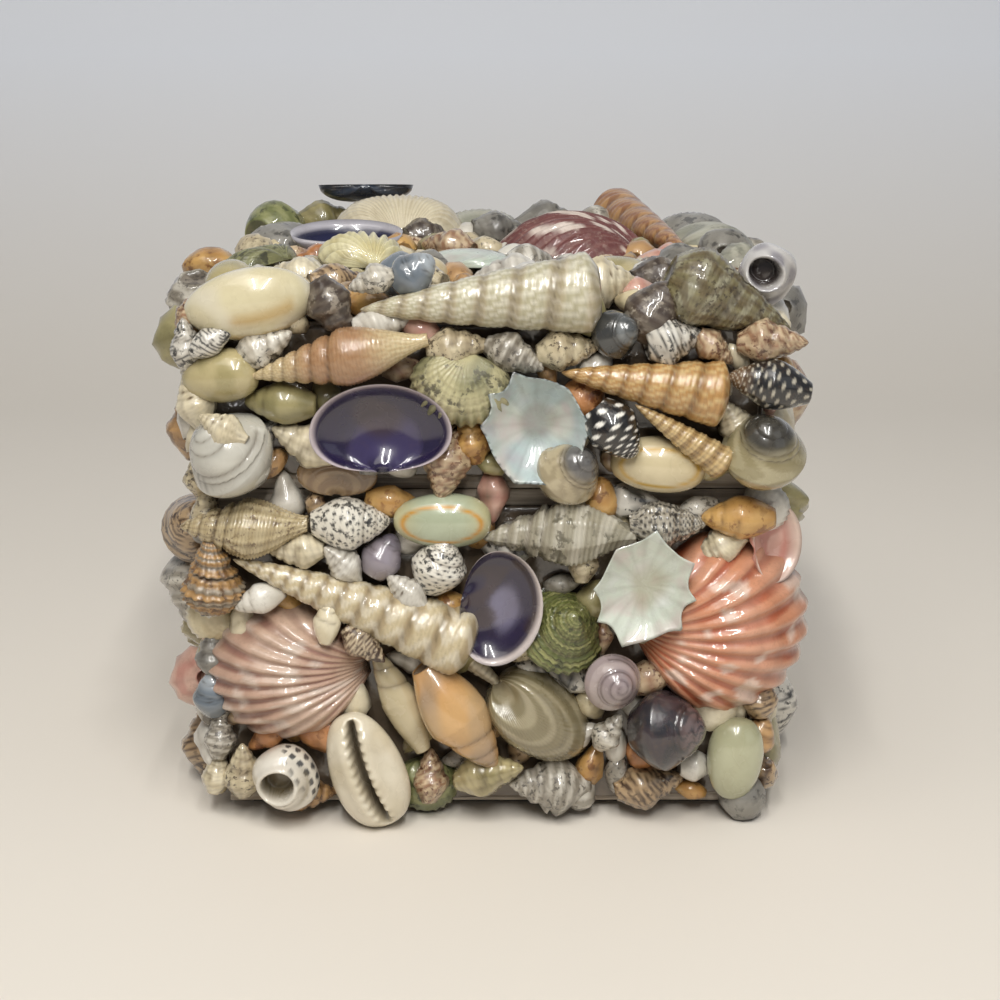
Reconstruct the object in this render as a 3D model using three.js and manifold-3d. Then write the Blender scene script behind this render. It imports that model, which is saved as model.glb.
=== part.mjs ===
// A square wooden box with a lift-off lid, covered on its sides and lid with glued seashells.
// Millimetres, +Z up. The origin is the centre of the underside, and the front faces -Y.
import * as THREE from 'three';
import { ParametricGeometry } from 'three/addons/geometries/ParametricGeometry.js';
import { ConvexGeometry } from 'three/addons/geometries/ConvexGeometry.js';
import { mergeVertices } from 'three/addons/utils/BufferGeometryUtils.js';
import Module from 'manifold-3d';

const wasm = await Module();
wasm.setup();

// Driving dimensions
const boxSide = 102;
const half = boxSide / 2;
const wallThickness = 5;
const padThickness = 2;
const padInset = 4;
const seamHeight = 66;
const lidTop = 98;
const gap = 0.3;
const lipHeight = 3;
const lipThickness = 2.4;
const bedThickness = 1;
const bareMargin = 3;

const { PI, sin, cos, abs, max, min, sqrt, floor } = Math;
const radians = THREE.MathUtils.degToRad;

// ---------------------------------------------------------------- solids and booleans

// Keeps only positions, joins shared corners and drops the triangles that a pole folds flat.
function closedGeometry(geometry) {
  geometry.deleteAttribute('normal');
  geometry.deleteAttribute('uv');
  const merged = mergeVertices(geometry, 1e-3);
  const corners = merged.index.array;
  const kept = [];
  for (let i = 0; i < corners.length; i += 3) {
    const [a, b, c] = corners.slice(i, i + 3);
    if (a !== b && b !== c && c !== a) kept.push(a, b, c);
  }
  merged.setIndex(kept);
  return facingOut(merged);
}

// Six times the signed volume tells which way the faces point.
function facingOut(geometry) {
  const place = geometry.attributes.position;
  const corners = geometry.index.array;
  const [p, q, r] = [new THREE.Vector3(), new THREE.Vector3(), new THREE.Vector3()];
  let volume = 0;
  for (let i = 0; i < corners.length; i += 3) {
    p.fromBufferAttribute(place, corners[i]);
    q.fromBufferAttribute(place, corners[i + 1]);
    r.fromBufferAttribute(place, corners[i + 2]);
    volume += p.dot(q.cross(r));
  }
  if (volume < 0) {
    for (let i = 0; i < corners.length; i += 3) {
      [corners[i], corners[i + 1]] = [corners[i + 1], corners[i]];
    }
  }
  return geometry;
}

// The convex shape that clears a surface by the given distance, to cut its neighbours with.
function clearanceOf(geometry, distance, core) {
  const copy = geometry.clone();
  copy.computeVertexNormals();
  const place = copy.attributes.position;
  const normal = copy.attributes.normal;
  const points = [];
  for (let i = 0; i < place.count; i += 1) {
    const point = new THREE.Vector3().fromBufferAttribute(place, i);
    const outward = new THREE.Vector3().fromBufferAttribute(normal, i);
    points.push(point.clone(), point.addScaledVector(outward, distance));
  }
  return toSolid(closedGeometry(new ConvexGeometry(points))).subtract(core);
}

function toSolid(geometry) {
  return new wasm.Manifold(new wasm.Mesh({
    numProp: 3,
    vertProperties: new Float32Array(geometry.attributes.position.array),
    triVerts: new Uint32Array(geometry.index.array),
  }));
}

function block(x0, x1, y0, y1, z0, z1) {
  const box = new THREE.BoxGeometry(x1 - x0, y1 - y0, z1 - z0);
  box.translate((x0 + x1) / 2, (y0 + y1) / 2, (z0 + z1) / 2);
  return toSolid(closedGeometry(box));
}

function joined(solids) {
  return solids.reduce((sum, solid) => sum.add(solid));
}

// A cut can leave crumbs, so only the biggest body stays.
function largestBody(solid) {
  return solid.decompose().reduce((best, body) => (body.volume() > best.volume() ? body : best));
}

function boxesMeet(a, b) {
  const [p, q] = [a.boundingBox(), b.boundingBox()];
  return [0, 1, 2].every((axis) => p.min[axis] < q.max[axis] && q.min[axis] < p.max[axis]);
}

function cutBy(solid, cutters) {
  return cutters.filter((cutter) => boxesMeet(solid, cutter)).reduce((left, cutter) => left.subtract(cutter), solid);
}

// ---------------------------------------------------------------- shell surfaces
// Each shell lies along its own x, with its apex (or the edge away from its hinge) towards +x,
// and shows its +z side.

function shellSurface(point, slices, stacks) {
  const geometry = new ParametricGeometry((u, v, target) => target.set(...point(u, v)), slices, stacks);
  return closedGeometry(geometry);
}

// Spired shell: x falls from the apex to the canal, and the radius grows as (t / widest) ^ power
// and then falls as a cosine to the canal. Rings alternate between seam and belly of each whorl.
function spired({ length, width, widest, power, canal, whorls, step, growth, sides, knobs = 0, tilt = 0 }) {
  const spireRings = 2 * whorls;
  const rings = spireRings + 2;
  const along = (ring) => {
    if (ring <= spireRings) return widest * ((1 + growth) ** (ring / spireRings) - 1) / growth;
    return widest + (1 - widest) * (ring - spireRings) / 2;
  };
  const radius = (ring) => {
    const t = along(ring);
    if (ring === 0 || ring === rings) return 0;
    if (ring > spireRings) return canal + (1 - canal) * cos(PI / 2 * (t - widest) / (1 - widest));
    return (t / widest) ** power * (ring % 2 === 1 || ring === spireRings ? 1 : 1 - step);
  };
  return shellSurface((u, v) => {
    const ring = Math.round(v * rings);
    const turn = 2 * PI * u;
    const knob = 1 + knobs * (Math.round(u * sides) % 2) * (ring % 2);
    const r = width / 2 * radius(ring) * knob;
    const x = length * (0.5 - along(ring)) + tilt * r * cos(turn);
    return [x, r * cos(turn), r * sin(turn)];
  }, sides, rings);
}

// Egg-shaped shell: superellipse rings from end to end, flat below, with an optional slit on top.
function eggShaped({ length, width, height, bulge, slit = 0, sides, rings }) {
  return shellSurface((u, v) => {
    const turn = 2 * PI * u;
    const ring = sin(PI * v) ** 0.75 * (1 + bulge * cos(PI * v));
    const up = sin(turn) * (sin(turn) < 0 ? 0.7 : 1);
    const groove = 1 - slit * Math.exp(-((cos(turn) / 0.3) ** 2)) * (sin(turn) > 0 ? 1 : 0);
    return [length / 2 * cos(PI * v), width / 2 * ring * cos(turn), height / 2 * ring * up * groove];
  }, sides, rings);
}

// Half of a bivalve: rays fan out from the hinge to the margin, whose reach is
// length * (1 - s^2) ^ pinch, and the height is a dome over each ray. Dished shells hang the
// dome below the rim and keep a wall, as thick at the rim as inside. Ribs lift every second ray and push its end outward.
function valve({ length, width, depth, fan, pinch, ribs = 0, ribDepth = 0, wall = 0, rays, rows }) {
  const slices = ribs ? 2 * ribs : rays;
  const reach = (s) => length * max(0, 1 - s * s) ** pinch;
  const angle = (s) => radians(fan) * s;
  let widestRay = 0;
  for (let i = 0; i <= slices; i += 1) {
    const s = 2 * i / slices - 1;
    widestRay = max(widestRay, abs(reach(s) * sin(angle(s))));
  }
  const spread = width / 2 / widestRay;
  const backRows = wall ? rows + 1 : 1;
  return shellSurface((u, v) => {
    const s = 2 * v - 1;
    const row = Math.round(u * (rows + backRows));
    const front = row <= rows;
    const out = front ? row / rows : (rows + backRows - row) / (wall ? rows : 1);
    const rib = ribs ? (Math.round(v * slices) % 2 ? 1 : -1) : 0;
    const r = reach(s) * out * (1 + 0.02 * rib * out * (ribDepth ? 1 : 0));
    const arch = (4 * out * (1 - out) + 0.25 * out * out * (1 - out)) ** 0.7 * max(0, 1 - s * s) ** 0.35;
    const crest = ribDepth * rib * out * (1 - s * s);
    const skin = sin(PI / 2 * out) ** 0.4 * max(0, 1 - s * s) ** 0.35;
    let z = wall ? -depth * arch + (front ? 0 : -wall * skin) : depth * arch * (front ? 1 : 0);
    z += front || wall ? crest : 0;
    return [r * cos(angle(s)) - length / 2, r * sin(angle(s)) * spread, z];
  }, rows + backRows, slices);
}

// Broken star-shaped dish: the rim reaches out and in again around an oval bowl with a wall.
function starDish({ length, width, depth, points, wall }) {
  const slices = 2 * points;
  const path = [[0, -depth - wall], [0.6, -depth * 0.7 - wall], [1, -0.2], [0.6, -0.7 * depth], [0, -depth]];
  return shellSurface((u, v) => {
    const turn = 2 * PI * u;
    const [out, z] = path[Math.round(v * (path.length - 1))];
    const ray = Math.round(u * slices) % 2 ? 1.12 : 0.9;
    const reach = out * (1 + (ray - 1) * out * out);
    return [length / 2 * reach * cos(turn), width / 2 * reach * sin(turn), z];
  }, slices, path.length - 1);
}

// ---------------------------------------------------------------- kinds of shell

const spireKinds = {
  auger: { widest: 0.93, power: 0.7, canal: 0.45, whorls: 5, step: 0.13, growth: 2.2, sides: 6, tilt: 0.12 },
  slimAuger: { widest: 0.93, power: 0.7, canal: 0.45, whorls: 4, step: 0.13, growth: 2.2, sides: 6, tilt: 0.12 },
  nassa: { widest: 0.62, power: 0.85, canal: 0.35, whorls: 2, step: 0.12, growth: 3, sides: 6 },
  beaded: { widest: 0.66, power: 0.85, canal: 0.4, whorls: 2, step: 0.14, growth: 3, sides: 7 },
  whelk: { widest: 0.5, power: 0.9, canal: 0.22, whorls: 3, step: 0.14, growth: 3, sides: 6 },
  knobbed: { widest: 0.52, power: 0.9, canal: 0.2, whorls: 3, step: 0.12, growth: 3, sides: 6, knobs: 0.14 },
  spindle: { widest: 0.55, power: 1.05, canal: 0.16, whorls: 3, step: 0.1, growth: 2.4, sides: 7 },
  dove: { widest: 0.48, power: 0.65, canal: 0.35, whorls: 1.5, step: 0.05, growth: 3, sides: 6 },
  moon: { widest: 0.55, power: 0.6, canal: 0.5, whorls: 1.5, step: 0.04, growth: 3, sides: 6 },
  turban: { widest: 0.58, power: 0.9, canal: 0.5, whorls: 2, step: 0.12, growth: 2, sides: 8 },
};

const kinds = {
  cowrie: (size) => eggShaped({ ...size, height: size.width * 0.8, bulge: 0.1, sides: 8, rings: 5 }),
  openCowrie: (size) => eggShaped({ ...size, height: size.width * 0.8, bulge: 0.12, slit: 0.4, sides: 12, rings: 6 }),
  scallop: (size) => valve({ ...size, depth: 8, fan: 65, pinch: 0.3, ribs: 11, ribDepth: 0.7, rows: 2 }),
  cockle: (size) => valve({ ...size, depth: 6, fan: 78, pinch: 0.4, ribs: 7, ribDepth: 0.5, rows: 2 }),
  dome: (size) => valve({ ...size, depth: 7, fan: 88, pinch: 0.6, rays: 10, rows: 3 }),
  deepDome: (size) => valve({ ...size, depth: 10.5, fan: 88, pinch: 0.6, rays: 10, rows: 3 }),
  flat: (size) => valve({ ...size, depth: 3, fan: 88, pinch: 0.6, rays: 9, rows: 2 }),
  dish: (size) => valve({ ...size, depth: 4.5, fan: 88, pinch: 0.6, wall: 1.3, rays: 10, rows: 3 }),
  star: (size) => starDish({ ...size, depth: 4, points: 8, wall: 1.4 }),
};

for (const [name, form] of Object.entries(spireKinds)) {
  kinds[name] = (size) => spired({ ...form, ...size });
}

// Small shells have few sides: a cone with a blunt canal, a bead, or a little fan.
const smallKinds = {
  spire: (size) => spired({ ...spireKinds.nassa, whorls: 0.5, sides: 4, ...size }),
  bead: (size) => eggShaped({ ...size, height: size.width, bulge: 0, sides: 4, rings: 3 }),
  fan: (size) => valve({ ...size, depth: size.width * 0.4, fan: 85, pinch: 0.5, rays: 5, rows: 2 }),
};

// ---------------------------------------------------------------- places on the box

// Each face has its own frame: across to the right, up, and out of the wood.
function faceFrame(across, up, origin) {
  const out = new THREE.Vector3().crossVectors(across, up);
  return new THREE.Matrix4().makeBasis(across, up, out).setPosition(origin);
}

const [alongX, alongY, alongZ] = [
  new THREE.Vector3(1, 0, 0),
  new THREE.Vector3(0, 1, 0),
  new THREE.Vector3(0, 0, 1),
];
const faces = {
  front: faceFrame(alongX, alongZ, new THREE.Vector3(0, -half, 0)),
  right: faceFrame(alongY, alongZ, new THREE.Vector3(half, 0, 0)),
  back: faceFrame(alongX.clone().negate(), alongZ, new THREE.Vector3(0, half, 0)),
  left: faceFrame(alongY.clone().negate(), alongZ, new THREE.Vector3(-half, 0, 0)),
  top: faceFrame(alongX, alongY, new THREE.Vector3(0, 0, lidTop)),
};

// turn swings the apex in the face, lean lifts it out of the face, roll spins the shell on its axis.
function placed(geometry, face, [across, up, out], turn = 0, lean = 0, roll = 0) {
  const matrix = new THREE.Matrix4().makeTranslation(across, up, out)
    .multiply(new THREE.Matrix4().makeRotationZ(radians(turn)))
    .multiply(new THREE.Matrix4().makeRotationY(radians(-lean)))
    .multiply(new THREE.Matrix4().makeRotationX(radians(roll)));
  return geometry.applyMatrix4(matrix.premultiply(faces[face]));
}

// ---------------------------------------------------------------- the wooden box

const inner = half - wallThickness;
const floorTop = padThickness + wallThickness;
const lidCeiling = lidTop - wallThickness;
const lipOutside = inner + lipThickness;

function boxBody() {
  const walls = block(-half, half, -half, half, padThickness, seamHeight);
  const lip = block(-lipOutside, lipOutside, -lipOutside, lipOutside, seamHeight - 1, seamHeight + lipHeight);
  return walls.add(lip).subtract(block(-inner, inner, -inner, inner, floorTop, lidTop));
}

function boxLid() {
  const bottom = seamHeight + gap;
  const rebate = lipOutside + gap;
  return block(-half, half, -half, half, bottom, lidTop)
    .subtract(block(-inner, inner, -inner, inner, 0, lidCeiling))
    .subtract(block(-rebate, rebate, -rebate, rebate, 0, bottom + lipHeight));
}

function basePad() {
  const side = half - padInset;
  return block(-side, side, -side, side, 0, padThickness);
}

// The wood with a coat of the given thickness on its sides and top.
function coatedBox(coat) {
  const side = half + coat;
  return block(-side, side, -side, side, 0, lidTop + coat);
}

// Single shells stay off the bed of glue, and their clearances end at it.
const woodAndBed = coatedBox(bedThickness);
const keptOff = coatedBox(bedThickness + gap);

// ---------------------------------------------------------------- single shells
// name, kind, face, [across, up, out], turn, lean, roll, length, width, colour

const singles = [
  // lid, front
  ['star_limpet_lid', 'star', 'front', [9, 80.5, 12], 100, 0, 0, 20, 18, 0xc9d3d6],
  ['clam_violet_lid', 'dish', 'front', [-19.3, 80.5, 11.5], 92, 6, 0, 17.5, 25.5, 0x4a4468],
  ['snail_black_dotted', 'moon', 'front', [23.5, 80, 10], -50, 10, 0, 13, 11, 0x1b1d20],
  ['auger_thin', 'slimAuger', 'front', [35.7, 78.5, 9.5], 146, 0, 0, 21, 6.8, 0xc8a878],
  ['auger_cream', 'auger', 'front', [-1, 103, 6], 184, 2, 0, 44, 15, 0xd9cdb4],
  ['spindle_tan', 'spindle', 'front', [-27, 93, 8.5], 192, 0, 0, 34.5, 11, 0xb88a5e],
  ['cockle_mottled', 'cockle', 'front', [-4.5, 87, 5], -100, 5, 0, 14.5, 19, 0xb9b290],
  ['auger_golden', 'auger', 'front', [29, 88, 8], 172, 0, 0, 31, 12.5, 0xc79a5c],
  ['whelk_black_spire', 'dove', 'front', [50.5, 88, 8], 170, 0, 0, 17.5, 10.5, 0x24221f],
  ['moon_snail_olive', 'moon', 'front', [51, 75.5, 8], 85, 35, 0, 15, 17.5, 0x8c8468],
  ['moon_snail_seam', 'moon', 'front', [15.7, 71.7, 7.5], 50, 40, 0, 14, 14, 0xa49a80],
  ['cowrie_ring_lid', 'cowrie', 'front', [32, 72.5, 5.5], -4, 0, 0, 18, 11, 0xc9b894],
  ['clam_amber', 'flat', 'front', [-28, 70.5, 3], 88, 0, 0, 9, 15, 0x7c6040],
  ['cowrie_money_lid', 'cowrie', 'front', [-43.5, 102.5, 4], 10, 0, 40, 25, 15, 0xe6ddb4],
  ['moon_snail_pearl', 'moon', 'front', [-48, 75.5, 8.5], 130, 35, 0, 17, 19, 0xc4c2b8],
  ['moon_snail_dark', 'moon', 'front', [24, 97, 6], 30, 45, 0, 9.5, 10, 0x4a4a48],
  ['whelk_conical', 'knobbed', 'front', [44, 104, 3], -24, 0, 0, 27, 15.5, 0x8f8a66],
  // lid, top
  ['snail_open_lid', 'moon', 'top', [53, -42, 7.5], -70, -10, 0, 13, 13, 0xd8d4d0],
  ['auger_orange', 'auger', 'top', [36, 32, 6.8], -74, -3, 0, 50, 12.5, 0xa8754c],
  ['scallop_maroon', 'scallop', 'top', [18, 18, 3.5], 165, -2, 0, 42, 34, 0x7c3b3c],
  ['mussel_dark', 'dish', 'top', [-29, 52, 14], 92, -8, 0, 13, 22, 0x2c3340],
  ['clam_cream_dome', 'deepDome', 'top', [-21, 38, 3.5], 98, 0, 0, 26, 34, 0xd8cdb2],
  ['clam_violet_top', 'dish', 'top', [-31, 17, 8], 95, 12, 0, 15, 24, 0x3f3d6c],
  ['cockle_ribbed', 'cockle', 'top', [-26, -10, 5], 115, 8, 0, 16, 18, 0xe0d8ae],
  ['shell_pearl_flat', 'flat', 'top', [-3, -9, 4.5], 60, 0, 0, 17, 19, 0xd3d6cc],
  ['limpet_olive', 'cockle', 'top', [-47, -12, 2.5], 150, -25, 0, 18, 20, 0x8a8a60],
  // box, front
  ['star_limpet_body', 'star', 'front', [29.5, 50, 12.5], 80, 0, 0, 21, 17.5, 0xd8d8ce],
  ['clam_violet_body', 'dish', 'front', [2.7, 46, 12], -8, 4, 0, 16, 22.5, 0x4f4560],
  ['clam_pink', 'dish', 'front', [55.5, 57, 4.5], 10, -35, 0, 12, 15, 0xcf9c8c],
  ['moon_snail_mauve', 'moon', 'front', [24, 30.5, 10], 20, 75, 0, 10, 11.5, 0xa89a98],
  ['cowrie_money_body', 'openCowrie', 'front', [-22.5, 12, 8.5], 109, 0, 0, 24.5, 15, 0xe4dcc6],
  ['snail_open_body', 'moon', 'front', [-38.5, 10.7, 8], 60, 30, 0, 14, 15.5, 0xdcd8d0],
  ['nassa_beaded', 'beaded', 'front', [-51.5, 51.5, 7], 92, 5, 0, 16.5, 12.5, 0xa8865c],
  ['auger_body', 'auger', 'front', [-25, 45.5, 8], 159, 0, 0, 49, 14, 0xcdbf9e],
  ['scallop_coral', 'scallop', 'front', [45, 39.5, 4.5], 2, -4, 0, 35, 36, 0xd9795a],
  ['scallop_pink', 'scallop', 'front', [-39, 30.5, 4.5], 184, -4, 0, 35, 28, 0xcba392],
  ['conch_lipped', 'dove', 'front', [-6, 24, 8], -55, 0, 0, 28, 14, 0xc49a68],
  ['whelk_netted', 'whelk', 'front', [-45.5, 60, 7], 178, 0, 0, 24.5, 11.5, 0xc9bc9c],
  ['snail_spotted_mid', 'dove', 'front', [-9, 53, 7.5], 75, 10, 0, 12, 11, 0x5c5850],
  ['snail_spotted_left', 'dove', 'front', [-25.5, 61, 6.5], 4, 0, 0, 15, 10.5, 0x5c5850],
  ['cowrie_ring_body', 'cowrie', 'front', [-8.3, 61.6, 6], 0, 0, 0, 18.5, 10.5, 0xb9b79a],
  ['whelk_knobbly', 'knobbed', 'front', [13.5, 59, 7], 184, 0, 0, 30, 13, 0xa29a84],
  ['nassa_grey', 'nassa', 'front', [34, 60.5, 6], 5, 0, 0, 15.5, 10, 0x6e6a62],
  ['turban_green', 'turban', 'front', [14.5, 40.5, 6.5], 60, 48, 0, 14, 19, 0x7e8654],
  ['whelk_fragment', 'dome', 'front', [9.5, 21.5, 5], -42, -4, 0, 25, 17, 0x8d8468],
  ['nerite_purple', 'moon', 'front', [34.5, 20.5, 9], 12, 25, 0, 15.5, 17, 0x453c40],
  ['olive_shell', 'dove', 'front', [-16.5, 25, 5.5], 115, 0, 0, 24, 8, 0xc8bfa4],
  ['cowrie_green', 'cowrie', 'front', [48, 13.5, 6], 86, 0, 0, 17, 11, 0xa9aa8a],
];

const mouthRadius = 3.2;
const mouths = {
  snail_open_lid: ['top', [50.5, -43, 13]],
  snail_open_body: ['front', [-38, 14.3, 14.5]],
};

// A rounded mouth hollowed into an open snail.
function mouthCutter([face, place]) {
  const ball = new THREE.SphereGeometry(mouthRadius, 8, 6);
  return toSolid(closedGeometry(placed(ball, face, place)));
}

// ---------------------------------------------------------------- fields of small shells
// kind, across, up, turn, length, and how far the shell's middle stands off the wood. Shells under
// 10 mm long are left out of the solids.

const lidFrontSmalls = [
  ['spire', -55, 95, 95, 10, 5], ['bead', -49, 89, 10, 15, 6.5], ['spire', -54, 84, 105, 12, 4],
  ['spire', -40.5, 94.5, 30, 12, 6], ['spire', -38, 84, 180, 14, 5], ['spire', -34, 76.5, 155, 13, 5.5],
  ['spire', -7.5, 72, -100, 14, 5.5], ['spire', -3, 77.5, 100, 11, 4.5], ['spire', -5, 94.5, 5, 12, 6],
  ['spire', 5.3, 93, -25, 12, 6], ['spire', 15, 94, 5, 12, 6], ['bead', 31, 101, 60, 12, 4],
  ['spire', 34.5, 96, 10, 11, 6], ['spire', 52.5, 95.5, 0, 13, 5], ['spire', 46, 80, 120, 10, 4.5],
];

const bodyFrontSmalls = [
  ['spire', -36, 55.5, 180, 11, 6], ['spire', -27, 53.5, 135, 10, 7], ['spire', -15, 48, 140, 10, 8],
  ['spire', -43, 46.5, 200, 10, 7], ['spire', 47, 62, 180, 14, 6], ['spire', 44, 56, 210, 11, 5],
  ['spire', -47.5, 10.5, 90, 12, 5], ['spire', -52, 17.5, 90, 10, 3.5], ['fan', -53, 41, 200, 10, 3],
  ['spire', -11, 9.5, 92, 11, 5.5], ['fan', -12, 6, -90, 12, 3], ['spire', 0.5, 10.5, 15, 14, 6],
  ['spire', -35, 5, 0, 11, 3.5], ['spire', 32, 7, 15, 14, 4], ['spire', 12, 7.5, 175, 16, 6],
  ['spire', 0, 30, -42, 12, 5],
];

const lidTopSmalls = [
  ['spire', -38, -25, 160, 12, 5], ['spire', -37, 1, 200, 11, 4], ['spire', -9, 13, 150, 13, 5],
  ['spire', 4, -25, 170, 14, 5], ['bead', 9, -9, 20, 11, 4.5], ['spire', 40, -12, 60, 15, 5],
  ['fan', 50, 22, 10, 20, 3], ['spire', 52, -14, 40, 16, 5], ['fan', 26, -17, 80, 16, 3],
  ['fan', -47, 29, 160, 18, 3], ['spire', -50, 8, 100, 14, 4.5], ['fan', -2, 46, 90, 20, 3],
  ['spire', 14, 44, 20, 18, 6], ['fan', 48, 46, 40, 18, 3], ['bead', -49, 46, 60, 16, 5],
  ['spire', 35, -31, 20, 15, 5], ['bead', -14, -22, 30, 13, 5], ['bead', -15, -42, 0, 10, 8],
  ['spire', -14, -33, 150, 13, 5], ['bead', -50, -32, 80, 14, 5], ['spire', 22, -43, 5, 13, 8],
  ['spire', 10, -36, 10, 14, 5], ['spire', -28, -36, 20, 13, 5], ['bead', 50, 3, 90, 14, 5],
  ['spire', -26, 5, 160, 12, 4], ['bead', 26, 46, 30, 13, 5], ['spire', -38, 53, 20, 15, 6],
  ['spire', 3, 33, 10, 14, 6],
];

// The plain sides: rows of shells set by loops, each place and size swayed by its own number.
function sideField(span, bottom, top, rows, columns) {
  const list = [];
  const rowStep = (top - bottom) / rows;
  const columnStep = span / columns;
  const golden = (sqrt(5) - 1) / 2;
  for (let row = 0; row < rows; row += 1) {
    for (let column = 0; column < columns; column += 1) {
      const number = row * columns + column + 1;
      const sway = (number * golden) % 1;
      const kind = ['spire', 'bead', 'spire', 'fan', 'spire'][floor(sway * 5)];
      const across = (column + 0.5 + (row % 2 ? 0.15 : -0.15)) * columnStep - span / 2;
      const up = bottom + (row + 0.4 + 0.2 * sway) * rowStep;
      const size = 15 + 3 * ((number * golden * 3) % 1);
      list.push([kind, across, up, floor(sway * 1080) % 360, size, size * 0.45]);
    }
  }
  return list;
}

const sideSpan = boxSide - 4;
const backSpan = boxSide + 6;
const lidRows = [seamHeight + bareMargin, lidTop + 5, 2, 5];
const bodyRows = [bareMargin, seamHeight - bareMargin + 1, 4, 5];
const lidSideField = sideField(sideSpan, ...lidRows);
const bodySideField = sideField(sideSpan, ...bodyRows);
const lidBackField = sideField(backSpan, ...lidRows);
const bodyBackField = sideField(backSpan, ...bodyRows);

const smallWidths = { spire: 0.62, bead: 0.8, fan: 1.05 };
const footDepth = 0.7;

// A small shell is deepened backwards until it stands on the bed, as its drop of glue does.
function smallShell(face, [kind, across, up, turn, length, out]) {
  const width = length * smallWidths[kind];
  const geometry = smallKinds[kind]({ length, width });
  geometry.computeBoundingBox();
  const { min: low, max: high } = geometry.boundingBox;
  const crown = kind === 'fan' ? high.z : out + width / 2;
  const stretch = (crown - footDepth) / (high.z - low.z);
  const middle = footDepth - low.z * stretch;
  geometry.scale(1, 1, stretch);
  return placed(geometry, face, [across, up, middle], turn);
}

// Bed of glue on one face: a thin slab that leaves the wood bare beside the seam.
function glueBed(face, bottom, top, margin = 0) {
  const side = face === 'front' || face === 'back' ? half + bedThickness : half - gap;
  const slab = new THREE.BoxGeometry(2 * (side + margin), top - bottom + 2 * margin, bedThickness + 2 * margin);
  return toSolid(closedGeometry(placed(slab, face, [0, (bottom + top) / 2, bedThickness / 2])));
}

const fields = [
  ['lid_front_smalls', 'front', lidFrontSmalls, seamHeight + bareMargin, lidTop - gap, 0xcfc4a8],
  ['body_front_smalls', 'front', bodyFrontSmalls, bareMargin, seamHeight - bareMargin, 0xcbbfa4],
  ['lid_top_smalls', 'top', lidTopSmalls, gap - half, half - gap, 0xc9c2aa],
  ['lid_back_shells', 'back', lidBackField, seamHeight + bareMargin, lidTop - gap, 0xc6bda2],
  ['body_back_shells', 'back', bodyBackField, bareMargin, seamHeight - bareMargin, 0xc3b89a],
  ['lid_left_shells', 'left', lidSideField, seamHeight + bareMargin, lidTop - gap, 0xcbc2a6],
  ['body_left_shells', 'left', bodySideField, bareMargin, seamHeight - bareMargin, 0xbfb497],
  ['lid_right_shells', 'right', lidSideField, seamHeight + bareMargin, lidTop - gap, 0xc9bea0],
  ['body_right_shells', 'right', bodySideField, bareMargin, seamHeight - bareMargin, 0xc1b699],
];

// ---------------------------------------------------------------- assembly

const group = new THREE.Group();

// The mesh stands at the middle of its piece, with its shape around that point.
function addPiece(name, solid, colour, roughness = 0.25) {
  const { vertProperties, triVerts } = solid.getMesh();
  const geometry = new THREE.BufferGeometry();
  geometry.setAttribute('position', new THREE.BufferAttribute(vertProperties, 3));
  geometry.setIndex(new THREE.BufferAttribute(triVerts, 1));
  geometry.computeBoundingBox();
  const centre = geometry.boundingBox.getCenter(new THREE.Vector3()).round();
  geometry.translate(-centre.x, -centre.y, -centre.z);
  geometry.computeVertexNormals();
  const material = new THREE.MeshStandardMaterial({ color: colour, roughness, metalness: 0 });
  const mesh = new THREE.Mesh(geometry, material);
  mesh.name = name;
  mesh.position.copy(centre);
  group.add(mesh);
}

addPiece('box_body', boxBody(), 0xa39a8c, 0.7);
addPiece('box_lid', boxLid(), 0xa39a8c, 0.7);
addPiece('base_pad', basePad(), 0x151515, 0.9);

const clearances = [];
for (const [name, kind, face, place, turn, lean, roll, length, width, colour] of singles) {
  const geometry = placed(kinds[kind]({ length, width }), face, place, turn, lean, roll);
  const mouth = mouths[name] ? [mouthCutter(mouths[name])] : [];
  const solid = cutBy(toSolid(geometry), [keptOff, ...clearances, ...mouth]);
  addPiece(name, largestBody(solid), colour);
  clearances.push(clearanceOf(geometry, gap, woodAndBed));
}

const wood = coatedBox(0);
for (const [name, face, smalls, bottom, top, colour] of fields) {
  const shells = smalls.map((row) => smallShell(face, row));
  const field = joined([glueBed(face, bottom, top), ...shells.map(toSolid)]);
  addPiece(name, largestBody(cutBy(field, [wood, ...clearances])), colour);
  clearances.push(...shells.map((geometry) => clearanceOf(geometry, gap, wood)));
  clearances.push(glueBed(face, bottom, top, gap));
}

export default group;
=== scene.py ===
import math

import bpy
import numpy as np
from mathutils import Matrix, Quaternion, Vector


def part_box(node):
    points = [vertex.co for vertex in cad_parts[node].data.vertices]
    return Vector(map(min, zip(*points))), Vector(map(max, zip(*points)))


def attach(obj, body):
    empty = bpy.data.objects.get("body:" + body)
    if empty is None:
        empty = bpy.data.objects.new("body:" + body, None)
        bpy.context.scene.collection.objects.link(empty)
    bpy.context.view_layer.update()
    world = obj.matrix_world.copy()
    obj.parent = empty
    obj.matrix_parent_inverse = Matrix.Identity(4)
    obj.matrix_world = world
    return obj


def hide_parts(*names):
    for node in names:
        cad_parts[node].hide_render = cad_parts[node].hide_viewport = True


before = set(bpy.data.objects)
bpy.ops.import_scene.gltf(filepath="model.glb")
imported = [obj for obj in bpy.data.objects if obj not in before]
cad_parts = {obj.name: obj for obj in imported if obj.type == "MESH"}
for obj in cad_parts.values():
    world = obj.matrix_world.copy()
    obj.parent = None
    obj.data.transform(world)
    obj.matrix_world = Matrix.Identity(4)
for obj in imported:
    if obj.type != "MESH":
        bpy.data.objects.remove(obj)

# A lidded wooden box covered in varnished seashells. Shapes are worked out in millimetres
# and written into meshes in metres.

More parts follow.
